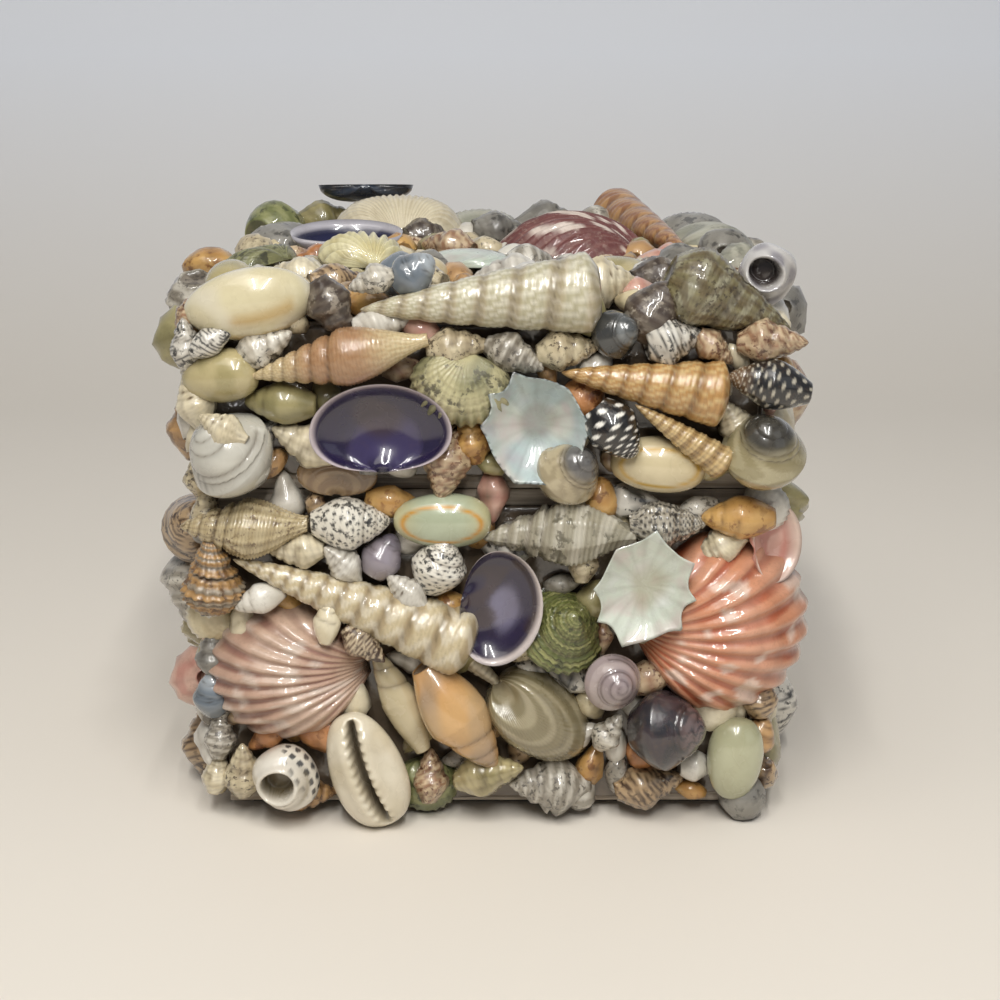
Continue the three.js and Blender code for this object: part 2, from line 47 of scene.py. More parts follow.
mm = 0.001
golden = (math.sqrt(5) - 1) / 2
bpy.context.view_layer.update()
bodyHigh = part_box("box_body")[1]
lidLow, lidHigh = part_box("box_lid")
half = bodyHigh.x / mm            # half the width of the bare box
lidTop = lidHigh.z / mm
seamHeight = lidLow.z / mm
print("frame loaded, box", round(2 * half), "mm wide,", round(lidTop), "mm high")


def tone(text):
    # sRGB hex text to linear red, green, blue
    values = np.array([int(text[i:i + 2], 16) for i in (1, 3, 5)]) / 255
    return np.where(values < 0.04045, values / 12.92, ((values + 0.055) / 1.055) ** 2.4)


def smooth(low, high, value):
    # 0 below low, 1 above high, an S curve between
    x = np.clip((value - low) / (high - low), 0, 1)
    return x * x * (3 - 2 * x)


def cloud(points, size, seed):
    # sum of sines along six seeded directions: a soft random field from -1 to 1, size in mm
    draw = np.random.default_rng(seed)
    ways = draw.normal(size=(6, 3))
    ways /= np.linalg.norm(ways, axis=1)[:, None]
    steps = 2 * math.pi / size * draw.uniform(0.5, 1.6, 6)
    waves = np.sin((points @ ways.T) * steps + draw.uniform(0, 6.28, 6))
    return waves.sum(-1) / 3.2


# shapes: each function gives grids of (row, column), rows from pole to pole, columns all the way
# round. Long axis on x with the apex, or the edge away from the hinge, towards +x; +z shows.

spiralDefaults = dict(widest=0.6, power=0.75, canal=0.35, whorls=5, step=0.12, growth=5, cords=0,
                      cordDepth=0.0, ribs=0, ribDepth=0.0, knobs=0, knobDepth=0.0,
                      shoulder=1.0, hollow=0.06, bend=0.0, wobble=0.02, taper=1.0, seed=1)


def spiralShell(length, width, rows, columns, **changes):
    # radius = (t / widest) ^ power to the widest whorl, then a cosine to the canal; the whorl phase
    # is whorls * log(1 + growth * t / widest) / log(1 + growth) less the turn, and its whole numbers
    # draw the spiral seam, with ribs, cords and knobs as cosines of turn and phase
    form = {**spiralDefaults, **changes}
    mouthRows = 6             # these fold in at the open end
    t = np.concatenate([np.linspace(0, 1, rows - mouthRows) ** 1.1, np.ones(mouthRows)])[:, None]
    fold = np.concatenate([np.zeros(rows - mouthRows), np.linspace(0.15, 1, mouthRows)])[:, None]
    turn = np.linspace(0, 2 * math.pi, columns, endpoint=False)[None, :]
    widest, canal = form["widest"], form["canal"]
    down = np.clip((t - widest) / (1 - widest), 0, 1)
    rising = np.clip(t / widest, 0, 1) ** form["power"]
    base = np.where(t < widest, rising, canal + (1 - canal) * np.cos(math.pi / 2 * down) ** form["taper"])
    phase = form["whorls"] * np.log1p(form["growth"] * t / widest) / math.log1p(form["growth"])
    phase = phase - turn / (2 * math.pi)
    last = form["whorls"] - 1
    across = np.where(phase < last, phase - np.floor(phase), np.clip(phase - last, 0, 0.5))
    across = np.clip(across, 0, 1) ** form["shoulder"]
    belly = np.sqrt(np.clip(4 * across * (1 - across), 0, 1))
    radius = width / 2 * base * (1 - form["step"] * (1 - belly))
    ribWave = np.cos(form["ribs"] * turn + 1.5 * t) if form["ribs"] else 0 * turn + 0 * t
    cordTurns = form["cords"] * (phase + 0.8 * down)
    cordWave = np.cos(2 * math.pi * cordTurns) if form["cords"] else 0 * phase
    knobWave = 0 * phase
    if form["knobs"]:
        shoulderBand = np.exp(-((across - 0.4) / 0.2) ** 2)
        knobWave = np.clip(np.cos(form["knobs"] * turn), 0, 1) ** 2 * shoulderBand
    radius = radius * (1 + form["ribDepth"] * ribWave * belly + form["cordDepth"] * cordWave)
    radius = radius * (1 + form["knobDepth"] * knobWave) * (1 - fold ** 2)
    x = length * (0.5 - t) + form["hollow"] * length * np.sin(1.5 * fold)
    y = radius * np.cos(turn) + form["bend"] * width * down ** 2
    z = radius * np.sin(turn) + 0 * t
    points = np.stack([x + 0 * turn, y, z], -1)
    swell = 1 + form["wobble"] * cloud(points, width * 1.2, form["seed"])[..., None]
    points[..., 1:] *= swell
    # painted shade: the seams between whorls, the troughs of ribs and cords and the inside of the mouth are
    # marked here to be darkened in the finish
    creaseShade = np.clip(1 - belly, 0, 1) ** 1.5
    creaseShade = creaseShade + 0.35 * np.clip(-ribWave, 0, 1) + 0.25 * np.clip(-cordWave, 0, 1)
    creaseShade = np.where(fold > 0.3, 1.0, creaseShade)
    fine = 0.5 * np.sin(90 * turn + 6 * np.sin(3 * turn)) * belly
    return dict(points=points, creaseShade=creaseShade, phase=phase, turn=turn + 0 * t, along=t + 0 * turn, fine=fine)


def eggShell(length, width, rows, columns, height=0.8, bulge=0.1, slit=False, teeth=13, power=0.72,
             mouth=0.0):
    # superellipse rings sin(v) ^ power from end to end, flattened below; an open cowrie has a long
    # curved slit sunk as a bell curve across the top, with a row of teeth as cosines on each side; an
    # open snail has a round mouth sunk straight down inside a raised lip, and a spiral furrow round it
    v = np.linspace(0, math.pi, rows)[:, None]
    spread = np.linspace(-1, 1, columns, endpoint=False)[None, :]
    turn = math.pi / 2 + math.pi * np.sign(spread) * np.abs(spread) ** (1.7 if slit or mouth else 1)
    ring = np.sin(v) ** power * (1 + bulge * np.cos(v))
    x = length / 2 * np.cos(v) + 0 * turn
    y = width / 2 * ring * np.cos(turn)
    below = np.where(np.sin(turn) < 0, 0.7, 1.0)
    z = width * height / 2 * ring * np.sin(turn) * below
    creaseShade = 0 * x
    if slit:
        upper = np.sin(turn) > 0
        reach = np.clip(1 - np.abs(2 * x / length / 0.93) ** 6, 0, 1) * upper
        centre = -0.05 + 0.07 * np.cos(2.2 * x / length) - 0.05 * (2 * x / length) ** 2
        side = np.abs(y / width - centre)
        groove = np.exp(-(side / 0.05) ** 2) * reach
        tooth = np.cos(2 * math.pi * teeth * x / length)
        ridge = np.exp(-((side - 0.085) / 0.045) ** 2) * reach
        z = z * np.where(upper, 0.92, 1) - 0.42 * width * groove + 0.028 * width * tooth * ridge
        z = z + 0.06 * width * np.exp(-((side - 0.17) / 0.1) ** 2) * reach
        # painted shade: the slit's groove and the gaps between its teeth are marked to be darkened
        creaseShade = np.clip(groove * 1.5 + 0.3 * np.clip(-tooth, 0, 1) * ridge, 0, 1)
    if mouth:
        upper = np.sin(turn) > 0
        east, north = x / width - 0.06, y / width - 0.1
        away = np.hypot(east / 0.9, north) / mouth
        z = z - 0.42 * width * (1 - smooth(0.7, 1.0, away)) * upper
        z = z + 0.07 * width * np.exp(-((away - 1.15) / 0.16) ** 2) * upper
        swirl = np.arctan2(north, east) + 2.2 * away
        furrow = np.exp(-((away - 1.75) / 0.3) ** 2) * np.clip(np.sin(swirl), 0, 1) * upper
        z = z - 0.05 * width * furrow
        # painted shade: the sunk mouth and the furrow round it are marked to be darkened
        creaseShade = np.clip(0.8 * (1 - smooth(0.75, 1.0, away)) * upper + 0.5 * furrow, 0, 1)
    points = np.stack([x, y, z], -1)
    return dict(points=points, creaseShade=creaseShade, phase=v + 0 * turn, turn=turn + 0 * v,
                along=v / math.pi + 0 * turn, fine=0.15 * np.sin(40 * v) + 0 * turn)


def fanShell(length, width, rows, columns, depth=6.0, fan=85, pinch=0.5, ribs=0, ribDepth=0.0, wall=0.0,
             steps=0, stepDepth=0.12, frill=0.02, hinge=0.04):
    # rays at angles s * fan from the hinge, each reaching length * (1 - s^2) ^ pinch, arched as a dome;
    # ribs are cosines of s, growth steps cosines along the ray, and dished shells hang below the rim
    s = np.linspace(-1, 1, rows)[:, None]
    outer = int(columns * (0.5 if wall else 0.75))
    back = np.linspace(1, 0, columns - outer + 2)[1:-1]
    v = np.concatenate([np.linspace(0, 1, outer) ** 0.85, back])[None, :]
    front = (np.arange(columns) < outer)[None, :]
    reach = length * np.clip(1 - s * s, 0, 1) ** pinch
    angle = math.radians(fan) * s
    spread = width / 2 / np.max(np.abs(reach * np.sin(angle)))
    ribWave = np.cos(math.pi * ribs * s + math.pi * (ribs % 2)) if ribs else 0 * s
    r = reach * v * (1 + frill * ribWave * v ** 2)
    ends = np.clip(1 - s * s, 0, 1)
    arch = np.clip(4 * v * (1 - v) + 0.25 * v * v * (1 - v), 0, 1.1) ** 0.7 * ends ** 0.35
    skin = np.sin(math.pi / 2 * v) ** 0.4 * ends ** 0.35
    lines = np.cos(2 * math.pi * steps * v ** 1.3) if steps else 0 * v
    relief = ribDepth * ribWave * v ** 0.7 * ends ** 0.5 + stepDepth * lines * v * ends
    if wall:
        z = -depth * arch + np.where(front, 0.0, -wall * skin) + 0.5 * relief
    else:
        z = np.where(front, depth * arch + relief, -0.3 * skin * (1 - v) ** 0.3)
    x = r * np.cos(angle) - length / 2
    y = r * np.sin(angle) * spread + hinge * width * s
    points = np.stack([x, y + 0 * v, z + 0 * s], -1)
    # painted shade: rib troughs and growth-step troughs are marked to be darkened, more towards the margin
    creaseShade = 0.6 * np.clip(-ribWave, 0, 1) * np.clip(ribDepth, 0, 1) + 0.25 * np.clip(-lines, 0, 1) + 0 * v
    return dict(points=points, creaseShade=creaseShade * v, phase=v + 0 * s, turn=s + 0 * v, along=v + 0 * s,
                fine=0.5 * np.sin(70 * v) + 0 * s, front=(front | (v > 0.99)) + 0 * s)


def starShell(length, width, rows, columns, depth=4.0, points=8, wall=1.0, seed=3):
    # a bowl turned round its middle whose rim swings out and in as a cosine of the turn, each arm its own
    # length, with low radial folds inside
    draw = np.random.default_rng(seed)
    lengths = draw.uniform(0.2, 1.3, points)
    turn = np.linspace(0, 2 * math.pi, columns, endpoint=False)[None, :]
    places = turn + 0.16 * np.sin(2 * turn + seed) + 0.09 * np.sin(3 * turn + 2 * seed)
    under, over = np.linspace(0, 1, rows // 2), np.linspace(1, 0, rows - rows // 2 + 1)[1:]
    out = np.concatenate([under, over])[:, None]
    inside = (np.arange(rows) >= rows // 2)[:, None]
    arm = lengths[np.floor(places * points / 6.2832 + 0.5).astype(int) % points]
    spike = arm * (1 - np.abs(np.sin(points * places / 2))) ** 1.3
    reach = out * (0.92 + 0.17 * (spike - 0.3) * out ** 3)
    bowl = depth * (1 - out ** 2.2)
    folds = 0.35 * (spike - 0.3) * out ** 2 - 0.25 * np.clip(np.cos(3 * places), 0, 1) * out
    z = -bowl - np.where(inside, 0.0, wall * (1 - out ** 6)) + folds - 0.2
    x = length / 2 * 0.98 * reach * np.cos(turn)
    y = width / 2 * 0.98 * reach * np.sin(turn)
    grid = np.stack([x, y, z + 0 * x], -1)
    # painted shade: troughs round the rim are marked to be darkened, more towards the edge
    creaseShade = 0.25 * np.clip(-np.cos(2 * points * turn), 0, 1) * out
    return dict(points=grid, creaseShade=creaseShade, phase=out + 0 * turn, turn=turn + 0 * out, along=out + 0 * turn,
                fine=0.3 * np.sin(36 * turn) * out, front=inside + 0 * turn)


# colours: each pattern mixes a second colour over the first by a formula of the shell's own grids

def patternMask(shell, pattern, count, seed):
    points = shell["points"]
    turn, phase, along = shell["turn"], shell["phase"], shell["along"]
    x = points[..., 0] / (0.5 * np.ptp(points[..., 0]))
    y = points[..., 1] / (0.5 * np.ptp(points[..., 1]))
    size = max(np.ptp(points[..., 0]), np.ptp(points[..., 1]))
    mist = cloud(points, size * 0.45, seed)
    if pattern == "mist":
        return smooth(-0.3, 0.7, mist)
    if pattern == "bands":          # along the whorl
        return smooth(-0.2, 0.5, np.cos(2 * math.pi * count * phase) + 0.3 * mist)
    if pattern == "flames":         # across the whorl, with the growth
        swayed = np.sin(count * turn + 2 * np.sin(6.28 * phase) + 2 * mist)
        return smooth(0.1, 0.5, swayed + 0.4 * mist)
    if pattern == "dashes":
        dash = np.cos(count * turn + 1.5 * mist) * np.cos(2 * math.pi * 3 * phase + mist)
        return smooth(0.15, 0.45, dash)
    if pattern == "dots":
        row = phase * 3.5
        column = turn * count / 6.283 + 0.5 * np.floor(row)
        away = np.hypot(column - np.floor(column) - 0.5, row - np.floor(row) - 0.5)
        return 1 - smooth(0.18, 0.3, away)
    if pattern == "growth":         # rings parallel to a fan's margin
        return smooth(0.0, 0.6, np.sin(count * 6.283 * along ** 1.3 + mist) + 0.5 * mist)
    if pattern == "rays":
        return smooth(0.1, 0.7, np.cos(math.pi * count * turn + 0.8 * mist))
    if pattern == "apex":           # the tip of the spire
        return 1 - smooth(0.14, 0.32, along)
    if pattern == "margin":
        return smooth(0.8, 0.97, along)
    if pattern == "ring":           # the line on a ring cowrie's back
        return np.exp(-((np.hypot(x / 0.8, y / 0.66) - 1) / 0.07) ** 2) * (points[..., 2] > 0)
    if pattern == "middle":
        return 1 - smooth(0.2, 0.7, np.abs(along - 0.5) * 2)
    if pattern == "heart":          # the muscle scar in the middle of an open valve
        return 1 - smooth(0.2, 0.55, np.hypot(x - 0.1, y) + 0.15 * mist)
    if pattern == "rim":            # a line along the edge of an open valve, and its outside
        return np.maximum(smooth(0.9, 0.96, along), 1 - shell["front"])
    if pattern == "ticks":          # short dark marks on a broken rim
        return smooth(0.965, 0.99, along) * smooth(0.2, 0.5, np.sin(count * turn + 3 * mist))
    if pattern == "stripe":         # two soft bars along the back
        bars = np.exp(-((y - 0.3) / 0.16) ** 2) + np.exp(-((y + 0.35) / 0.14) ** 2)
        lengthwise = smooth(-0.6, 0.7, np.sin(3.2 * x + 1.4 + 1.5 * mist)) * smooth(0.95, 0.6, np.abs(x))
        return np.clip(bars, 0, 1) * lengthwise
    if pattern == "flakes":         # small pale flakes lying along the ribs
        flake = np.sin(17 * along + 3 * mist) * np.sin(11 * turn + 9 * along)
        return smooth(0.45, 0.7, flake + 0.35 * mist)
    if pattern == "mouthShade":     # inside an open snail
        return smooth(0.3, 0.7, shell["creaseShade"])
    if pattern == "sideDots":
        row = np.abs(np.sin(7 * turn)) * np.abs(np.sin(9 * phase))
        return smooth(0.5, 0.65, row) * smooth(0.3, 0.6, -y)
    # sideStreaks: across the whorl, on one side only
    oneSide = smooth(0.1, 0.7, np.cos(turn - 2.4) + 0.3 * mist)
    return smooth(0.3, 0.6, np.sin(count * turn + 3 * mist)) * oneSide


def paint(shell, look, seed=1):
    # look: a base colour, then (pattern, colour, count, strength) laid over it in turn
    colour = np.broadcast_to(tone(look["base"]), shell["points"].shape).copy()
    for number, (pattern, over, count, strength) in enumerate(look.get("over", [])):
        mask = patternMask(shell, pattern, count, seed + 7 * number)[..., None] * strength
        colour = colour * (1 - mask) + tone(over) * mask
    shell["tint"] = colour
    shell["fleck"] = np.broadcast_to(tone(look.get("fleck", "#5a4632")), colour.shape)
    shell["finish"] = look.get("finish", "plain")
    return shell


# meshes

def toArrays(shell):
    # grid to vertices, four-sided faces and the three-sided ones round each pole, all facing out
    points = shell["points"]
    rows, columns = points.shape[:2]
    rings = rows - 2

    def flat(values):
        tail = values.shape[2:]
        first = values[0].mean(0, keepdims=True).reshape((1,) + tail)
        end = values[-1].mean(0, keepdims=True).reshape((1,) + tail)
        return np.concatenate([first, values[1:-1].reshape((-1,) + tail), end])

    places = flat(points)
    ring = 1 + np.arange(rings * columns).reshape(rings, columns)
    ahead = np.roll(ring, -1, axis=1)
    quads = np.stack([ring[:-1], ahead[:-1], ahead[1:], ring[1:]], -1).reshape(-1, 4)
    end = len(places) - 1
    tops = np.stack([np.zeros_like(ring[0]), ahead[0], ring[0]], -1)
    tails = np.stack([np.full_like(ring[0], end), ring[-1], ahead[-1]], -1)
    tris = np.concatenate([tops, tails])
    a, b, c, d = (places[quads[:, k]] for k in range(4))
    volume = np.einsum("ij,ij->i", a, np.cross(b, c)).sum() + np.einsum("ij,ij->i", a, np.cross(c, d)).sum()
    if volume < 0:
        quads, tris = quads[:, ::-1], tris[:, ::-1]
    data = {key: flat(shell[key]) for key in ("tint", "fleck", "creaseShade", "fine")}
    return dict(places=places, quads=quads, tris=tris, finish=shell["finish"], **data)


def buildPiece(name, shells):
    # many shells joined as whole arrays into one mesh, with a material slot for each finish used
    parts = [toArrays(shell) for shell in shells]
    finishNames = sorted({part["finish"] for part in parts})
    starts = np.cumsum([0] + [len(part["places"]) for part in parts[:-1]])
    places = np.concatenate([part["places"] for part in parts]) * mm
    quads = np.concatenate([part["quads"] + start for part, start in zip(parts, starts)])
    tris = np.concatenate([part["tris"] + start for part, start in zip(parts, starts)])
    slots = [finishNames.index(part["finish"]) for part in parts]
    quadSlots = np.concatenate([np.full(len(p["quads"]), k) for p, k in zip(parts, slots)])
    triSlots = np.concatenate([np.full(len(p["tris"]), k) for p, k in zip(parts, slots)])
    corners = np.concatenate([quads.ravel(), tris.ravel()]).astype(np.int32)
    sizes = np.concatenate([np.full(len(quads), 4), np.full(len(tris), 3)])
    mesh = bpy.data.meshes.new(name)
    mesh.vertices.add(len(places))
    mesh.vertices.foreach_set("co", places.astype(np.float32).ravel())
    mesh.loops.add(len(corners))
    mesh.loops.foreach_set("vertex_index", corners)
    mesh.polygons.add(len(sizes))
    mesh.polygons.foreach_set("loop_start", (np.cumsum(sizes) - sizes).astype(np.int32))
    mesh.polygons.foreach_set("material_index", np.concatenate([quadSlots, triSlots]).astype(np.int32))
    mesh.polygons.foreach_set("use_smooth", np.ones(len(sizes), bool))
    for key in ("tint", "fleck"):
        values = np.concatenate([part[key] for part in parts])
        values = np.concatenate([values, np.ones((len(values), 1))], 1)
        layer = mesh.attributes.new(key, "FLOAT_COLOR", "POINT")
        layer.data.foreach_set("color", values.astype(np.float32).ravel())
    for key in ("creaseShade", "fine"):
        values = np.concatenate([part[key] for part in parts])
        layer = mesh.attributes.new(key, "FLOAT", "POINT")
        layer.data.foreach_set("value", values.astype(np.float32))
    for finish in finishNames:
        mesh.materials.append(finishes[finish])
    mesh.update(calc_edges=True)
    mesh.validate()
    piece = bpy.data.objects.new(name, mesh)
    bpy.context.collection.objects.link(piece)
    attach(piece, "root")
    return piece


# node groups shared by the finishes

def newGroup(name, inputs, outputs):
    group = bpy.data.node_groups.new(name, "ShaderNodeTree")
    for label, kind, value in inputs:
        socket = group.interface.new_socket(label, in_out="INPUT", socket_type=kind)
        socket.default_value = value
    for label, kind in outputs:
        group.interface.new_socket(label, in_out="OUTPUT", socket_type=kind)
    return group, group.nodes.new("NodeGroupInput"), group.nodes.new("NodeGroupOutput")


def addNode(tree, kind, **settings):
    node = tree.nodes.new(kind)
    for key, value in settings.items():
        if key in node.inputs:
            node.inputs[key].default_value = value
        else:
            setattr(node, key, value)
    return node


def mapRange(tree, value, low, high):
    node = addNode(tree, "ShaderNodeMapRange", clamp=True)
    node.inputs["From Min"].default_value = low
    node.inputs["From Max"].default_value = high
    tree.links.new(value, node.inputs["Value"])
    return node.outputs["Result"]


def calculate(tree, operation, first, second):
    node = addNode(tree, "ShaderNodeMath", operation=operation)
    for socket, value in zip(node.inputs, (first, second)):
        if isinstance(value, (int, float)):
            socket.default_value = value
        else:
            tree.links.new(value, socket)
    return node.outputs[0]


def mixColour(tree, amount, first, second, blend="MIX"):
    node = addNode(tree, "ShaderNodeMix", data_type="RGBA", blend_type=blend)
    for index, value in ((0, amount), (6, first), (7, second)):
        if isinstance(value, (int, float, tuple)):
            node.inputs[index].default_value = value
        else:
            tree.links.new(value, node.inputs[index])
    return node.outputs[2]


def newMaterial(name):
    material = bpy.data.materials.new(name)
    material.use_nodes = True
    tree = material.node_tree
    return material, tree, tree.nodes["Principled BSDF"]


def solidNoise(tree, place, **settings):
    noise = addNode(tree, "ShaderNodeTexNoise", **settings)
    tree.links.new(place.outputs["Object"], noise.inputs["Vector"])
    return noise


def raiseBump(tree, shader, height, strength, distance):
    relief = addNode(tree, "ShaderNodeBump", Strength=strength, Distance=distance)
    tree.links.new(height, relief.inputs["Height"])
    tree.links.new(relief.outputs["Normal"], shader.inputs["Normal"])


def opaque(text):
    return tuple(tone(text)) + (1,)


fleckSettings = dict(spots=(0.53, 0.6), patchScale=260.0, patches=(0.38, 0.55))
grainSettings = dict(cloudScale=180.0, clouds=(0.3, 0.7))


def fleckGroup():
    # spots where a coarse and a fine noise are both high
    group, come, go = newGroup("shellFlecks",
                               [("Scale", "NodeSocketFloat", 1200.0), ("Amount", "NodeSocketFloat", 0.5)],
                               [("Mask", "NodeSocketFloat")])
    place = addNode(group, "ShaderNodeTexCoord")
    noise = solidNoise(group, place, Detail=3.0, Roughness=0.6)
    group.links.new(come.outputs["Scale"], noise.inputs["Scale"])
    spots = mapRange(group, noise.outputs["Fac"], *fleckSettings["spots"])
    broad = solidNoise(group, place, Scale=fleckSettings["patchScale"], Detail=2.0)
    patches = mapRange(group, broad.outputs["Fac"], *fleckSettings["patches"])
    both = calculate(group, "MULTIPLY", spots, patches)
    group.links.new(calculate(group, "MULTIPLY", both, come.outputs["Amount"]), go.inputs["Mask"])
    return group


def grainGroup():
    # fine cloudy grain: a height for bump and a shade for colour
    group, come, go = newGroup("shellGrain", [("Scale", "NodeSocketFloat", 900.0)],
                               [("Height", "NodeSocketFloat"), ("Shade", "NodeSocketFloat")])
    place = addNode(group, "ShaderNodeTexCoord")
    noise = solidNoise(group, place, Detail=5.0, Roughness=0.55)
    group.links.new(come.outputs["Scale"], noise.inputs["Scale"])
    group.links.new(noise.outputs["Fac"], go.inputs["Height"])
    broad = solidNoise(group, place, Scale=grainSettings["cloudScale"], Detail=3.0)
    group.links.new(mapRange(group, broad.outputs["Fac"], *grainSettings["clouds"]), go.inputs["Shade"])
    return group


flecks = fleckGroup()
grain = grainGroup()

finishSettings = {
    "plain": dict(fleckScale=1500, fleckAmount=0.12, roughness=0.3, bump=0.12, coat=0.8),
    "speckled": dict(fleckScale=1100, fleckAmount=0.85, roughness=0.32, bump=0.2, coat=0.8),
    "mottled": dict(fleckScale=480, fleckAmount=0.8, roughness=0.35, bump=0.3, coat=0.7),
    "netted": dict(fleckScale=800, fleckAmount=0.95, roughness=0.28, bump=0.15, coat=0.9),
    "polished": dict(fleckScale=600, fleckAmount=0.05, roughness=0.18, bump=0.03, coat=1.0),
    "dark": dict(fleckScale=900, fleckAmount=0.2, roughness=0.22, bump=0.12, coat=1.0),
    "chalky": dict(fleckScale=900, fleckAmount=0.25, roughness=0.5, bump=0.35, coat=0.45),
    "pearly": dict(fleckScale=500, fleckAmount=0.06, roughness=0.22, bump=0.1, coat=0.9),
}


# what the varnished finishes share: how much the grain darkens, how much painted shade darkens the creases,
# and in which tones
varnish = dict(shade=0.28, shadeTone=(0.55, 0.48, 0.38, 1), creaseShade=0.75, creaseShadeTone=(0.16, 0.115, 0.075, 1),
               roughnessSway=0.15, coatRoughness=0.035, ior=1.5, fineShare=0.5, reliefDepth=0.0003)
nacre = dict(share=0.7, tones=((0.93, 0.97, 1.0, 1), (0.85, 0.97, 0.9, 1), (0.98, 0.88, 0.92, 1)))


def makeFinish(name, fleckScale, fleckAmount, roughness, bump, coat):
    material, tree, shader = newMaterial(name + "Shell")
    tint, fleck, creaseShade, fine = (addNode(tree, "ShaderNodeAttribute", attribute_name=key)
                                 for key in ("tint", "fleck", "creaseShade", "fine"))
    spots = addNode(tree, "ShaderNodeGroup", node_tree=flecks, Scale=fleckScale, Amount=fleckAmount)
    dust = addNode(tree, "ShaderNodeGroup", node_tree=grain)
    shaded = mixColour(tree, calculate(tree, "MULTIPLY", dust.outputs["Shade"], varnish["shade"]),
                       tint.outputs["Color"], varnish["shadeTone"], "MULTIPLY")
    spotted = mixColour(tree, spots.outputs["Mask"], shaded, fleck.outputs["Color"])
    # painted shade: the crease mark darkens the colour towards a dark brown in seams, troughs and mouths
    colour = mixColour(tree, calculate(tree, "MULTIPLY", creaseShade.outputs["Fac"], varnish["creaseShade"]), spotted,
                       varnish["creaseShadeTone"], "MULTIPLY")
    if name == "pearly":       # faint pink and green clouds, as in nacre
        ramp = addNode(tree, "ShaderNodeValToRGB")
        first, second, last = nacre["tones"]
        ramp.color_ramp.elements[0].color = first
        ramp.color_ramp.elements[1].color = last
        ramp.color_ramp.elements.new(0.45).color = second
        tree.links.new(dust.outputs["Shade"], ramp.inputs["Fac"])
        colour = mixColour(tree, nacre["share"], colour, ramp.outputs["Color"], "MULTIPLY")
    tree.links.new(colour, shader.inputs["Base Color"])
    sway = calculate(tree, "MULTIPLY", dust.outputs["Shade"], varnish["roughnessSway"])
    tree.links.new(calculate(tree, "ADD", roughness, sway), shader.inputs["Roughness"])
    shader.inputs["Coat Weight"].default_value = coat
    shader.inputs["Coat Roughness"].default_value = varnish["coatRoughness"]
    shader.inputs["IOR"].default_value = varnish["ior"]
    lines = calculate(tree, "MULTIPLY", fine.outputs["Fac"], varnish["fineShare"])
    height = calculate(tree, "ADD", dust.outputs["Height"], lines)
    raiseBump(tree, shader, height, bump * 2, varnish["reliefDepth"])
    return material


finishes = {name: makeFinish(name, **values) for name, values in finishSettings.items()}
print("finishes made:", len(finishes))


# glue, dark as painted shade in the gaps between shells, and wood

# painted shade: the glue's near-black browns stand for the shade in the gaps between shells, over a glossy
# glue
glueShadeLook = dict(dark=(0.045, 0.03, 0.02, 1), pale=(0.2, 0.155, 0.11, 1), scale=220.0, roughness=0.2)
woodLook = dict(dark="#85796a", pale="#c2b8aa", worn="#8d7c68", streaks=(22, 22, 900), wornShare=0.5,
                roughness=0.62)
feltLook = dict(dark=(0.006, 0.006, 0.007, 1), pale=(0.035, 0.033, 0.035, 1), scale=2200.0, roughness=0.9)


def makeGlue():
    material, tree, shader = newMaterial("glueWithPaintedShade")
    noise = solidNoise(tree, addNode(tree, "ShaderNodeTexCoord"), Scale=glueShadeLook["scale"], Detail=4.0)
    tree.links.new(mixColour(tree, noise.outputs["Fac"], glueShadeLook["dark"], glueShadeLook["pale"]),
                   shader.inputs["Base Color"])
    shader.inputs["Roughness"].default_value = glueShadeLook["roughness"]
    shader.inputs["Coat Weight"].default_value = 1.0
    raiseBump(tree, shader, noise.outputs["Fac"], 0.6, 0.0008)
    return material


def makeWood():
    # whitewash over pale wood: streaks are noise stretched along the boards
    material, tree, shader = newMaterial("whitewashedWood")
    place = addNode(tree, "ShaderNodeTexCoord")
    stretch = addNode(tree, "ShaderNodeMapping")
    stretch.inputs["Scale"].default_value = woodLook["streaks"]
    tree.links.new(place.outputs["Object"], stretch.inputs["Vector"])
    streaks = addNode(tree, "ShaderNodeTexNoise", Scale=1.0, Detail=6.0, Roughness=0.65, Distortion=0.3)
    tree.links.new(stretch.outputs["Vector"], streaks.inputs["Vector"])
    patches = solidNoise(tree, place, Scale=60.0, Detail=4.0)
    lines = mapRange(tree, streaks.outputs["Fac"], 0.38, 0.62)
    colour = mixColour(tree, lines, opaque(woodLook["dark"]), opaque(woodLook["pale"]))
    wornPatches = mapRange(tree, patches.outputs["Fac"], 0.45, 0.6)
    worn = calculate(tree, "MULTIPLY", wornPatches, woodLook["wornShare"])
    colour = mixColour(tree, worn, colour, opaque(woodLook["worn"]))
    tree.links.new(colour, shader.inputs["Base Color"])
    shader.inputs["Roughness"].default_value = woodLook["roughness"]
    raiseBump(tree, shader, streaks.outputs["Fac"], 0.5, 0.0004)
    return material


def makeFelt():
    material, tree, shader = newMaterial("blackFelt")
    fibres = solidNoise(tree, addNode(tree, "ShaderNodeTexCoord"), Scale=feltLook["scale"], Detail=4.0,
                        Roughness=0.7)
    tree.links.new(mixColour(tree, fibres.outputs["Fac"], feltLook["dark"], feltLook["pale"]),
                   shader.inputs["Base Color"])
    shader.inputs["Roughness"].default_value = feltLook["roughness"]
    raiseBump(tree, shader, fibres.outputs["Fac"], 0.7, 0.0003)
    return material


# the glue finish is painted shade: dark brown in the gaps between shells
finishes["glue"] = makeGlue()
wood, felt = makeWood(), makeFelt()
for node, material in (("box_body", wood), ("box_lid", wood), ("base_pad", felt)):
    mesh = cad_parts[node].data
    mesh.materials.clear()
    mesh.materials.append(material)
print("wood, felt and glue made")


# places on the box: across to the right, up, and out of the wood, as seen from outside each face

